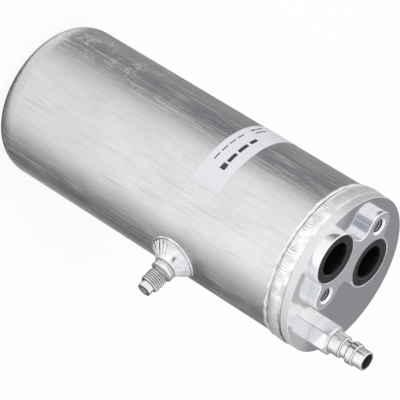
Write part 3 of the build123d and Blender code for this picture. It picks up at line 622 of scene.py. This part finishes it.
class DRIER_OT_rim_bead(bpy.types.Operator):
    """Models the rippled weld bead between the can and the header"""
    bl_idname = "drier.rim_bead"
    bl_label = "Rim weld bead"

    def execute(self, context):
        # Outline of the bead: toe ridge on the can, dark groove, crown and the seam at the header
        outline = [
            (44.0, 200.4), (44.95, 199.7), (45.25, 199.85), (45.5, 200.15), (45.6, 200.55), (45.52, 200.95),
            (45.25, 201.25), (44.85, 201.45), (44.75, 201.75), (44.95, 202.05), (45.5, 202.35),
            (45.85, 202.8), (46.05, 203.5), (46.18, 204.3), (46.27, 205.3), (46.3, 206.4), (46.28, 207.5),
            (46.22, 208.3), (46.18, 208.8), (46.13, 209.2), (46.1, 209.6), (46.03, 210.0), (45.96, 210.4),
            (45.8, 210.95), (45.5, 211.2), (45.2, 211.4),
            (44.0, 211.0), (43.9, 206.0),
        ]
        ripples, steps = context.scene.drier_sizes.ripples, 1820
        piece = turned("rim_bead", [(r * MM, z * MM) for r, z in outline], steps)
        depths = []
        for vertex in piece.data.vertices:
            x, y, z = vertex.co / MM
            radius, around = math.hypot(x, y), math.atan2(y, x)
            u, v = math.cos(around) * 6.0, math.sin(around) * 6.0
            # The lower end in the photograph, towards +X, is rougher: its seams are deep and wander
            end = max(0.0, math.cos(around + 0.45)) ** 3
            tip = max(0.0, math.cos(around + 0.1)) ** 4
            shallow = max(0.0, math.cos(around + 1.25)) ** 4
            # Painted shade: depth darkens the groove above the toe ridge, the seam at the header and the
            # ripples' valleys
            depth = max(0.0, 1 - abs(z - 201.75) / (0.5 + 0.3 * end)) * (1 - 0.65 * shallow)
            if z > 210.6:
                depth = 0.15 + 0.85 * end
                z += end * 0.8 * wander(u * 1.8, v * 1.8, 12.0)
            if z < 201.6 and radius > 44.5:
                # The toe ridge swells and wanders
                radius += 0.12 * wander(u * 2.2, v * 2.2, 3.0) + 0.08 * wander(u * 9, v * 9, 5.0)
                radius += 0.35 * end
                z += (0.4 + end) * wander(u * 1.6, v * 1.6, 8.0) + 0.15 * wander(u * 7, v * 7, 1.0)
                z -= 0.5 * end
            elif z < 211.0 and radius > 44.5:
                share = (z - 204.8) / 5.0
                bow = 0.045 * share * share + 0.012 * wander(u * 1.5, v * 1.5, 7.0)
                phase = (around + bow) * ripples / (2 * math.pi)
                strength = max(0.15, 0.6 + 0.9 * wander(u * 1.3, v * 1.3, 2.0)) * (1 - 0.6 * end)
                fade = min(1.0, (z - 201.6) / 0.6) * min(1.0, max(0.1, (210.4 - z) / 5.5))
                swell = 0.12 * wander(u * 1.1, v * 1.1, z * 0.25)
                crest = abs(math.sin(math.pi * phase))
                radius += 0.3 * strength * fade * (crest - 0.8) + swell
                radius -= 0.6 * end * max(0.0, 1 - abs(z - 202.2) / 0.9)
                depth = max(depth, 0.9 * end * max(0.0, 1 - abs(z - 202.2) / 0.8))
                depth = max(depth, 0.85 * strength * fade * max(0.0, 1 - crest * 1.7))
                # A deep groove wanders along the header's side at that end, with painted shade in it
                seam = 209.8 + 0.6 * wander(u * 1.2, v * 1.2, 15.0)
                groove = tip * max(0.0, 1 - abs(z - seam) / 1.1)
                radius -= 0.9 * groove
                depth = max(depth, min(1.0, 1.8 * groove))
            depths.append(min(1.0, depth))
            radius = min(radius, 46.35)
            vertex.co = Vector((math.cos(around) * radius, math.sin(around) * radius, z)) * MM
        mark_groove_shade(piece, depths)
        outward_faces(piece)
        smooth(piece, 60)
        piece.data.materials.append(weld_finish("mig_welded_aluminium", 0.6, 0.04 * MM))
        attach(piece, "vessel")
        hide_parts("rim_weld")
        return {"FINISHED"}


def weld_finish(name, metallic, mottle):
    """Finish of a weld bead; mottle is how deep its dents are, in metres."""
    # Welded aluminium: frosty white metal, with painted shade in its grooves
    made, tree, shader = material(name, "#f3f3f6", metallic, 0.3)
    where = node(tree, "ShaderNodeTexCoord").outputs["Object"]
    grain = node(tree, "ShaderNodeTexNoise", {"Vector": where, "Scale": 700.0, "Detail": 4.0})
    patches = node(tree, "ShaderNodeTexNoise", {"Vector": where, "Scale": 240.0, "Detail": 3.0})
    tone = node(tree, "ShaderNodeMix", {
        0: node(tree, "ShaderNodeMapRange", {0: patches, 1: 0.4, 2: 0.68}), 6: "#ffffff",
        7: "#dfdfe3"}, data_type="RGBA")
    tone = node(tree, "ShaderNodeMix", {
        0: node(tree, "ShaderNodeAttribute", attribute_name="groove_shade").outputs["Fac"], 6: tone,
        7: "#3c3d41"}, data_type="RGBA")
    put(tree, tone, shader.inputs["Base Color"])
    put(tree, node(tree, "ShaderNodeMapRange", {0: patches, 1: 0.3, 2: 0.7, 3: 0.25, 4: 0.38}),
        shader.inputs["Roughness"])
    dents = node(tree, "ShaderNodeBump", {"Distance": mottle, "Height": patches})
    put(tree, node(tree, "ShaderNodeBump", {"Distance": 0.012 * MM, "Height": grain, "Normal": dents}),
        shader.inputs["Normal"])
    return made


def on_can(along, across, height):
    """Place over the can at the switch port: mm along the axis, across it towards the camera, and up."""
    reach = math.sqrt(max(0.0, CAN_RADIUS ** 2 - across * across)) + height
    return (OUTWARD * reach + ASIDE * across + UP * (SWITCH_LEVEL + along)) * MM


class DRIER_OT_side_bead(bpy.types.Operator):
    """Models the lumpy weld round the switch port"""
    bl_idname = "drier.side_bead"
    bl_label = "Switch port weld bead"

    def execute(self, context):
        # Outline of the mound: radius from the port's axis and height over the can
        outline = [
            (15.3, -0.5), (15.25, 0.05), (15.1, 0.45), (14.85, 0.62), (14.6, 0.5), (14.4, 0.12),
            (14.2, 0.05), (14.0, 0.5), (13.7, 0.95), (13.2, 1.35), (12.6, 1.7), (12.0, 2.05),
            (11.4, 2.4), (10.8, 2.75), (10.2, 3.15), (9.6, 3.55), (9.0, 4.05), (8.5, 4.5), (8.1, 4.95),
            (7.7, 5.4), (7.3, 5.85), (6.9, 6.2), (6.4, 6.35), (5.8, 6.3), (5.8, -0.5),
        ]
        piece = turned("side_bead", [(r * MM, z * MM) for r, z in outline], 504)
        depths = []
        for vertex in piece.data.vertices:
            x, y, height = vertex.co / MM
            # Painted shade in the toe's groove, the creases, the dimple and where the bead meets the fitting
            depth = max(0.0, 1 - abs(math.hypot(x, y) - 14.3) / 0.45) if height > -0.2 else 0.0
            radius, around = math.hypot(x, y), math.atan2(y, x)
            share = min(1.0, max(0.0, (15.2 - radius) / 9.0))
            if height > -0.2 and radius > 5.9:
                u, v = math.cos(around) * 3.0, math.sin(around) * 3.0
                # Deep folds at the end away from the header, small ripples elsewhere
                away = math.exp(-((abs(around) - 2.7) / 0.75) ** 2)
                body = math.sin(math.pi * min(1.0, share * 0.94 + 0.06))
                folds = abs(math.sin(around * 14.0 + 1.6 * share + 1.5 * wander(u, v, 4.0))) - 0.65
                small = abs(math.sin(around * 34.0 - 3.0 * share + 2 * wander(u * 2, v * 2, 9.0))) - 0.65
                lumps = 0.7 * wander(u * 0.9, v * 0.9, radius * 0.16)
                toe = max(0.0, 1 - abs(share - 0.22) * 4)
                height += body * (1.1 * away * folds + 0.35 * toe * small + lumps)
                creases = max(away * body * max(0.0, -folds - 0.1) * 5.0, toe * max(0.0, -small - 0.3) * 2.4)
                dimple = math.exp(-((x - 4.6) ** 2 / 0.5 + (y - 7.8) ** 2 / 1.2))
                depth = max(depth, creases, dimple, 0.1 * max(0.0, 7.4 - radius))
                height -= 0.5 * dimple
                radius += max(0.0, 1 - share * 3) * 0.3 * wander(u * 1.2, v * 1.2, 6.0)
                height = max(height, -0.15)
            depths.append(min(1.0, depth))
            # The bead is shorter on its lower side towards the header
            radius -= 2.2 * max(0.0, math.cos(around + 0.7)) ** 2 * (1 - share)
            vertex.co = on_can(radius * math.cos(around), radius * math.sin(around), height)
        mark_groove_shade(piece, depths)
        outward_faces(piece)
        smooth(piece, 70)
        piece.data.materials.append(weld_finish("tig_welded_aluminium", 0.8, 0.3 * MM))
        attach(piece, "vessel")
        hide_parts("switch_port_weld")
        return {"FINISHED"}


def turned_finish(name, metallic, mouth, mouth_radius, mouth_end, crevice, dull_end, edges):
    """Finish of a turned fitting, with painted shade in its grooves, at its edges' levels in mm and down its
    bore.
    """
    # Turned aluminium: bright, almost white
    made, tree, shader = material(name, "#f6f6f7", metallic, 0.14)
    where = node(tree, "ShaderNodeTexCoord").outputs["Object"]
    patches = node(tree, "ShaderNodeTexNoise", {"Vector": where, "Scale": 260.0, "Detail": 3.0})
    put(tree, node(tree, "ShaderNodeMapRange", {0: patches, 1: 0.3, 2: 0.7, 3: 0.1, 4: 0.22}),
        shader.inputs["Roughness"])
    tone = node(tree, "ShaderNodeMix", {
        0: node(tree, "ShaderNodeMapRange", {0: patches, 1: 0.35, 2: 0.65}), 6: "#f1f1f2",
        7: "#e6e6e8"}, data_type="RGBA")
    # Painted shade in crevices, from ambient occlusion, and in the marked grooves
    tone = node(tree, "ShaderNodeMix", {
        0: node(tree, "ShaderNodeMapRange", {
            0: node(tree, "ShaderNodeAmbientOcclusion", {"Distance": crevice}, samples=8).outputs["AO"],
            1: 0.3, 2: 0.6}), 6: "#131416", 7: tone}, data_type="RGBA")
    tone = node(tree, "ShaderNodeMix", {
        0: node(tree, "ShaderNodeAttribute", attribute_name="groove_shade").outputs["Fac"], 6: tone,
        7: "#4c4d51"}, data_type="RGBA")
    grain = node(tree, "ShaderNodeTexNoise", {"Vector": where, "Scale": 420.0, "Detail": 2.0})
    put(tree, node(tree, "ShaderNodeBump", {"Distance": 0.008 * MM, "Height": grain}),
        shader.inputs["Normal"])
    # Painted shade inside the bore, darker deeper down: everything nearer to the axis than the mouth's wall
    base, direction = mouth
    offset = node(tree, "ShaderNodeVectorMath", {0: where, 1: base}, operation="SUBTRACT").outputs[0]
    reach = node(tree, "ShaderNodeVectorMath", {
        0: offset, 1: direction}, operation="DOT_PRODUCT").outputs[1]
    length = node(tree, "ShaderNodeVectorMath", {0: offset}, operation="LENGTH").outputs[1]
    squares = node(tree, "ShaderNodeMath", {
        0: node(tree, "ShaderNodeMath", {0: length, 1: length}, operation="MULTIPLY"),
        1: node(tree, "ShaderNodeMath", {0: reach, 1: reach}, operation="MULTIPLY")}, operation="SUBTRACT")
    within = node(tree, "ShaderNodeMath", {0: squares, 1: mouth_radius ** 2}, operation="LESS_THAN")
    below = node(tree, "ShaderNodeMath", {0: reach, 1: mouth_end}, operation="LESS_THAN")
    bore = node(tree, "ShaderNodeMix", {
        0: node(tree, "ShaderNodeMapRange", {0: reach, 1: mouth_end - 6 * MM, 2: mouth_end}), 6: "#3c3c3f",
        7: "#96969a"}, data_type="RGBA")
    tone = node(tree, "ShaderNodeMix", {
        0: node(tree, "ShaderNodeMath", {0: within, 1: below}, operation="MULTIPLY"), 6: tone,
        7: bore}, data_type="RGBA")
    # Lines of painted shade where one turned form meets the next, drawn wide enough to show
    lines = None
    for level in edges:
        line = node(tree, "ShaderNodeMath", {0: reach, 1: level * MM, 2: 0.16 * MM}, operation="COMPARE")
        lines = line if lines is None else node(tree, "ShaderNodeMath", {
            0: lines, 1: line}, operation="MAXIMUM")
    tone = node(tree, "ShaderNodeMix", {
        0: node(tree, "ShaderNodeMath", {0: lines, 1: 0.75}, operation="MULTIPLY"), 6: tone,
        7: "#1b1c1f"}, data_type="RGBA")
    # Below the dull end the hexagon is duller, and its corners have thin lines of painted shade
    if dull_end:
        dull = node(tree, "ShaderNodeMath", {0: reach, 1: dull_end}, operation="LESS_THAN")
        tone = node(tree, "ShaderNodeMix", {
            0: node(tree, "ShaderNodeMath", {0: dull, 1: 0.3}, operation="MULTIPLY"), 6: tone,
            7: "#ffffff"}, data_type="RGBA")
        put(tree, node(tree, "ShaderNodeMath", {
            0: dull, 1: 0.75 - metallic, 2: metallic}, operation="MULTIPLY_ADD"), shader.inputs["Metallic"])
        across = node(tree, "ShaderNodeSeparateXYZ", {0: offset})
        turn = node(tree, "ShaderNodeMath", {
            0: across.outputs["Y"], 1: across.outputs["X"]}, operation="ARCTAN2")
        corner_shade = node(tree, "ShaderNodeMath", {
            0: node(tree, "ShaderNodeMath", {0: turn, 1: math.radians(720 - HEX_CORNER)}, operation="ADD"),
            1: math.radians(30)}, operation="PINGPONG")
        corner_shade = node(tree, "ShaderNodeMath", {
            0: node(tree, "ShaderNodeMapRange", {0: corner_shade, 1: 0.015, 2: 0.03, 3: 0.6, 4: 0.0}),
            1: dull}, operation="MULTIPLY")
        tone = node(tree, "ShaderNodeMix", {0: corner_shade, 6: tone, 7: "#1b1c1f"}, data_type="RGBA")
    put(tree, tone, shader.inputs["Base Color"])
    return made


class DRIER_OT_switch_fitting(bpy.types.Operator):
    """Models the switch port's fitting with its thread"""
    bl_idname = "drier.switch_fitting"
    bl_label = "Switch port fitting"

    def execute(self, context):
        # Radius and distance from the can's axis along the port, in mm; the bore comes last
        start, end, depth, rows = 57.0, 65.0, 0.8, 88
        pitch = context.scene.drier_sizes.switch_pitch / MM
        outline = [(2.2, 40.5), (6.0, 40.5), (6.0, 51.3), (6.3, 51.4), (6.6, 51.7), (6.6, 55.0), (6.3, 55.4),
                   (4.8, 55.5), (4.8, 56.9)]
        outline += [(5.55, start + (end - start) * i / rows) for i in range(rows + 1)]
        outline += [(4.3, 65.2), (4.0, 65.25), (4.0, 68.7), (3.75, 69.0), (3.2, 69.0), (2.65, 68.4),
                    (2.65, 58.8), (2.2, 58.3)]
        piece = turned("switch_fitting", [(r * MM, z * MM) for r, z in outline], 96)
        depths = []
        for vertex in piece.data.vertices:
            x, y, z = vertex.co / MM
            radius, around = math.hypot(x, y), math.atan2(y, x)
            # Painted shade in the groove between collar and thread and in the thread's valleys
            shade = 0.4 if 4.7 < radius < 4.9 else 0.0
            if radius > 5.0 and start - 0.01 < z < end + 0.01:
                phase = (z / pitch + around / (2 * math.pi)) % 1.0
                valley = max(0.0, 1 - abs(phase - 0.5) * 2.2)
                taper = min(1.0, (z - start) / 0.6, (end - z) / 0.6)
                radius -= depth * max(valley, 0.75 * (1 - taper))
                shade = 0.95 * valley ** 2
            depths.append(shade)
            along, across = radius * math.cos(around), radius * math.sin(around)
            vertex.co = (OUTWARD * z + ASIDE * across + UP * (SWITCH_LEVEL + along)) * MM
        mark_groove_shade(piece, depths)
        outward_faces(piece)
        smooth(piece, 50)
        mouth = (UP * SWITCH_LEVEL * MM, OUTWARD)
        piece.data.materials.append(turned_finish(
            "threaded_aluminium", 0.75, mouth, 3.0 * MM, 68.8 * MM, 0.5 * MM, 0.0,
            (51.5, 55.2, 56.8, 65.25, 68.85)))
        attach(piece, "vessel")
        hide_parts("switch_port")
        return {"FINISHED"}


class DRIER_OT_valve(bpy.types.Operator):
    """Gives the service valve and both valve cores their finishes"""
    bl_idname = "drier.valve"
    bl_label = "Service valve and cores"

    def execute(self, context):
        mouth = (Vector((*VALVE_AXIS, 0.0)) * MM, UP)
        dress("service_valve", turned_finish(
            "turned_aluminium", 0.82, mouth, 4.5 * MM, 248.9 * MM, 0.8 * MM, 227.2 * MM,
            (227.5, 233.9, 234.8, 238.0, 238.9, 242.2, 243.1)))
        # Machined brass of the cores: warm yellow, deep in the bores
        brass, tree, shader = material("machined_brass", "#8d7a55", 1.0, 0.4)
        where = node(tree, "ShaderNodeTexCoord").outputs["Object"]
        stains = node(tree, "ShaderNodeTexNoise", {"Vector": where, "Scale": 500.0, "Detail": 3.0})
        put(tree, node(tree, "ShaderNodeMix", {
            0: node(tree, "ShaderNodeMapRange", {0: stains, 1: 0.3, 2: 0.7}), 6: "#9a8556",
            7: "#75623c"}, data_type="RGBA"), shader.inputs["Base Color"])
        # Spring steel wire: grey with a faint straw tint
        steel, tree, shader = material("spring_steel", "#8f8d88", 1.0, 0.32)
        where = node(tree, "ShaderNodeTexCoord").outputs["Object"]
        stains = node(tree, "ShaderNodeTexNoise", {"Vector": where, "Scale": 900.0, "Detail": 2.0})
        put(tree, node(tree, "ShaderNodeMapRange", {0: stains, 1: 0.3, 2: 0.7, 3: 0.26, 4: 0.42}),
            shader.inputs["Roughness"])
        # Nitrile rubber of seals and O-ring: dull black
        rubber, tree, shader = material("nitrile_rubber", "#1b1b1c", 0.0, 0.62)
        where = node(tree, "ShaderNodeTexCoord").outputs["Object"]
        bloom = node(tree, "ShaderNodeTexNoise", {"Vector": where, "Scale": 600.0, "Detail": 4.0})
        put(tree, node(tree, "ShaderNodeMix", {
            0: node(tree, "ShaderNodeMapRange", {0: bloom, 1: 0.35, 2: 0.7}), 6: "#171718",
            7: "#2a2a2b"}, data_type="RGBA"), shader.inputs["Base Color"])
        dress("service_o_ring", rubber)
        self.spring("service", Vector((*VALVE_AXIS, 229.55)) * MM, UP, steel)
        self.spring("switch", (OUTWARD * 56.85 + UP * SWITCH_LEVEL) * MM, OUTWARD, steel)
        for port in ("service", "switch"):
            dress(f"{port}_core_body", brass)
            dress(f"{port}_core_pin", brass)
            dress(f"{port}_core_gasket", rubber)
            dress(f"{port}_core_seal", rubber)
        return {"FINISHED"}

    def spring(self, port, foot, along, steel):
        """A core's spring, wound from its foot along the port."""
        wire, coil, length, turns, travel = 0.15 * MM, 1.1 * MM, 6.9 * MM, 5, 1.5 * MM
        deselect()
        bpy.ops.mesh.primitive_circle_add(
            vertices=10, radius=wire, location=(coil, 0, wire), rotation=(math.pi / 2, 0, 0))
        bpy.ops.object.transform_apply(location=True, rotation=True, scale=True)
        piece = bpy.context.object
        piece.name = f"{port}_spring"
        winding = piece.modifiers.new("winding", "SCREW")
        winding.steps = winding.render_steps = 28
        winding.iterations = turns
        winding.screw_offset = (length - 2 * wire) / turns
        bpy.ops.object.modifier_apply(modifier=winding.name)
        bpy.ops.object.mode_set(mode="EDIT")
        bpy.ops.mesh.select_all(action="SELECT")
        bpy.ops.mesh.fill_holes(sides=0)
        bpy.ops.object.mode_set(mode="OBJECT")
        turn = UP.rotation_difference(along)
        for vertex in piece.data.vertices:
            vertex.co = foot + turn @ vertex.co
        outward_faces(piece)
        smooth(piece, 60)
        piece.data.materials.append(steel)
        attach(piece, "vessel")
        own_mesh(piece)
        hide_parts(f"{port}_core_spring")


class DRIER_OT_plugs(bpy.types.Operator):
    """Gives the two transport plugs their finish"""
    bl_idname = "drier.plugs"
    bl_label = "Transport plugs"

    def execute(self, context):
        # Black polyethylene, injection moulded: charcoal, waxy, with a fine orange-peel grain
        finish, tree, shader = material("black_polyethylene", "#232226", 0.0, 0.42)
        where = node(tree, "ShaderNodeTexCoord").outputs["Object"]
        parts = node(tree, "ShaderNodeSeparateXYZ", {0: where})
        grain = node(tree, "ShaderNodeTexNoise", {"Vector": where, "Scale": 1500.0, "Detail": 3.0})
        scuffs = node(tree, "ShaderNodeTexNoise", {"Vector": where, "Scale": 300.0, "Detail": 4.0})
        tone = node(tree, "ShaderNodeMix", {
            0: node(tree, "ShaderNodeMapRange", {0: scuffs, 1: 0.4, 2: 0.75}),
            6: context.scene.drier_colours.plug, 7: "#2c2a2f"}, data_type="RGBA")
        # The cup's inside lies in its own shade
        front_level = context.scene.drier_sizes.front_level
        inside = node(tree, "ShaderNodeMapRange", {
            0: parts.outputs["Z"], 1: front_level - 3 * MM, 2: front_level - 0.8 * MM})
        put(tree, node(tree, "ShaderNodeMix", {0: inside, 6: "#020202", 7: tone}, data_type="RGBA"),
            shader.inputs["Base Color"])
        put(tree, node(tree, "ShaderNodeMapRange", {0: scuffs, 1: 0.3, 2: 0.7, 3: 0.36, 4: 0.52}),
            shader.inputs["Roughness"])
        put(tree, node(tree, "ShaderNodeBump", {"Distance": 0.015 * MM, "Height": grain}),
            shader.inputs["Normal"])
        for name in ("inlet_plug", "outlet_plug"):
            dress(name, finish)
        return {"FINISHED"}


class DRIER_OT_label(bpy.types.Operator):
    """Gives the label its paper and plain printed bars"""
    bl_idname = "drier.label"
    bl_label = "Label"

    def execute(self, context):
        # Coated paper: white with a soft gloss; the print is plain bars, in degrees and millimetres
        finish, tree, shader = material("coated_paper", "#ecebee", 0.0, 0.45)
        where = node(tree, "ShaderNodeTexCoord").outputs["Object"]
        parts = node(tree, "ShaderNodeSeparateXYZ", {0: where})
        around = node(tree, "ShaderNodeMath", {
            0: parts.outputs["Y"], 1: parts.outputs["X"]}, operation="ARCTAN2")
        ink = None
        for turn, half_turn, level, half_level in LABEL_BARS:
            across = node(tree, "ShaderNodeMath", {
                0: around, 1: math.radians(turn), 2: math.radians(half_turn)}, operation="COMPARE")
            along = node(tree, "ShaderNodeMath", {
                0: parts.outputs["Z"], 1: level * MM, 2: half_level * MM}, operation="COMPARE")
            bar = node(tree, "ShaderNodeMath", {0: across, 1: along}, operation="MULTIPLY")
            ink = bar if ink is None else node(tree, "ShaderNodeMath", {
                0: ink, 1: bar}, operation="MAXIMUM")
        fibres = node(tree, "ShaderNodeTexNoise", {"Vector": where, "Scale": 1200.0, "Detail": 3.0})
        paper = node(tree, "ShaderNodeMix", {
            0: node(tree, "ShaderNodeMapRange", {0: fibres, 1: 0.3, 2: 0.7}),
            6: context.scene.drier_colours.paper, 7: "#d5d4db"}, data_type="RGBA")
        put(tree, node(tree, "ShaderNodeMix", {0: ink, 6: paper, 7: "#343337"}, data_type="RGBA"),
            shader.inputs["Base Color"])
        put(tree, node(tree, "ShaderNodeBump", {"Distance": 0.004 * MM, "Height": fibres}),
            shader.inputs["Normal"])
        dress("label", finish)
        return {"FINISHED"}


class DRIER_OT_inner_parts(bpy.types.Operator):
    """Gives the pieces sealed inside the can their finishes"""
    bl_idname = "drier.inner_parts"
    bl_label = "Inner parts"

    def execute(self, context):
        # Drawn tube and spun cap: soft grey aluminium with faint lines
        tube, tree, shader = material("soft_aluminium", "#c9cacc", 1.0, 0.35)
        where = node(tree, "ShaderNodeTexCoord").outputs["Object"]
        lines = node(tree, "ShaderNodeTexNoise", {
            "Vector": node(tree, "ShaderNodeMapping", {"Vector": where, "Scale": (1.0, 1.0, 0.1)}),
            "Scale": 500.0, "Detail": 3.0})
        put(tree, node(tree, "ShaderNodeMapRange", {0: lines, 1: 0.3, 2: 0.7, 3: 0.28, 4: 0.42}),
            shader.inputs["Roughness"])
        # White nylon of the filter cup and ties: milky, slightly shiny
        nylon, tree, shader = material("white_nylon", "#e9e7de", 0.0, 0.38)
        where = node(tree, "ShaderNodeTexCoord").outputs["Object"]
        milk = node(tree, "ShaderNodeTexNoise", {"Vector": where, "Scale": 260.0, "Detail": 3.0})
        put(tree, node(tree, "ShaderNodeMix", {
            0: node(tree, "ShaderNodeMapRange", {0: milk, 1: 0.3, 2: 0.7}), 6: "#ece9df",
            7: "#e0ddd1"}, data_type="RGBA"), shader.inputs["Base Color"])
        # Woven screen: fine crossed wires, 0.25 mm apart
        screen, tree, shader = material("woven_screen", "#a9a49a", 1.0, 0.4)
        where = node(tree, "ShaderNodeTexCoord").outputs["Object"]
        weave = node(tree, "ShaderNodeTexChecker", {"Scale": 4000.0, "Vector": where})
        put(tree, node(tree, "ShaderNodeMix", {
            0: weave.outputs[1], 6: "#8b877e", 7: "#bdb8ac"}, data_type="RGBA"), shader.inputs["Base Color"])
        # Needled polyester felt of the bag: off-white, matt and hairy
        felt, tree, shader = material("needled_felt", "#dcd8cc", 0.0, 0.95)
        where = node(tree, "ShaderNodeTexCoord").outputs["Object"]
        hairs = node(tree, "ShaderNodeTexNoise", {
            "Vector": node(tree, "ShaderNodeMapping", {"Vector": where, "Scale": (1.0, 0.4, 1.0)}),
            "Scale": 900.0, "Detail": 6.0})
        put(tree, node(tree, "ShaderNodeMix", {
            0: node(tree, "ShaderNodeMapRange", {0: hairs, 1: 0.3, 2: 0.7}), 6: "#e0dccf",
            7: "#c9c4b5"}, data_type="RGBA"), shader.inputs["Base Color"])
        put(tree, node(tree, "ShaderNodeBump", {"Distance": 0.25 * MM, "Height": hairs}),
            shader.inputs["Normal"])
        for name, finish in (("suction_tube", tube), ("deflector_cap", tube), ("oil_filter", nylon),
                             ("oil_filter_mesh", screen), ("desiccant_bag", felt),
                             ("bag_tie_lower", nylon), ("bag_tie_upper", nylon)):
            dress(name, finish)
        return {"FINISHED"}


class DRIER_PT_panel(bpy.types.Panel):
    """Lists the drier's operators"""
    bl_label = "Receiver drier"
    bl_space_type = "VIEW_3D"
    bl_region_type = "UI"
    bl_category = "Drier"

    def draw(self, context):
        for operator in OPERATORS:
            self.layout.operator(operator.bl_idname)


OPERATORS = (
    DRIER_OT_stage, DRIER_OT_can, DRIER_OT_header, DRIER_OT_rim_bead, DRIER_OT_side_bead,
    DRIER_OT_switch_fitting, DRIER_OT_valve, DRIER_OT_plugs, DRIER_OT_label, DRIER_OT_inner_parts,
)
CLASSES = (DrierSizes, DrierColours, *OPERATORS, DRIER_PT_panel)


def register():
    for cls in CLASSES:
        bpy.utils.register_class(cls)
    bpy.types.Scene.drier_sizes = bpy.props.PointerProperty(type=DrierSizes)
    bpy.types.Scene.drier_colours = bpy.props.PointerProperty(type=DrierColours)


def unregister():
    del bpy.types.Scene.drier_sizes
    del bpy.types.Scene.drier_colours
    for cls in reversed(CLASSES):
        bpy.utils.unregister_class(cls)


def main():
    register()
    bpy.context.scene.view_settings.view_transform = "Standard"
    bpy.ops.drier.stage()
    bpy.ops.drier.can()
    bpy.ops.drier.header()
    bpy.ops.drier.rim_bead()
    bpy.ops.drier.side_bead()
    bpy.ops.drier.switch_fitting()
    bpy.ops.drier.valve()
    bpy.ops.drier.plugs()
    bpy.ops.drier.label()
    bpy.ops.drier.inner_parts()


if __name__ == "__main__":
    main()
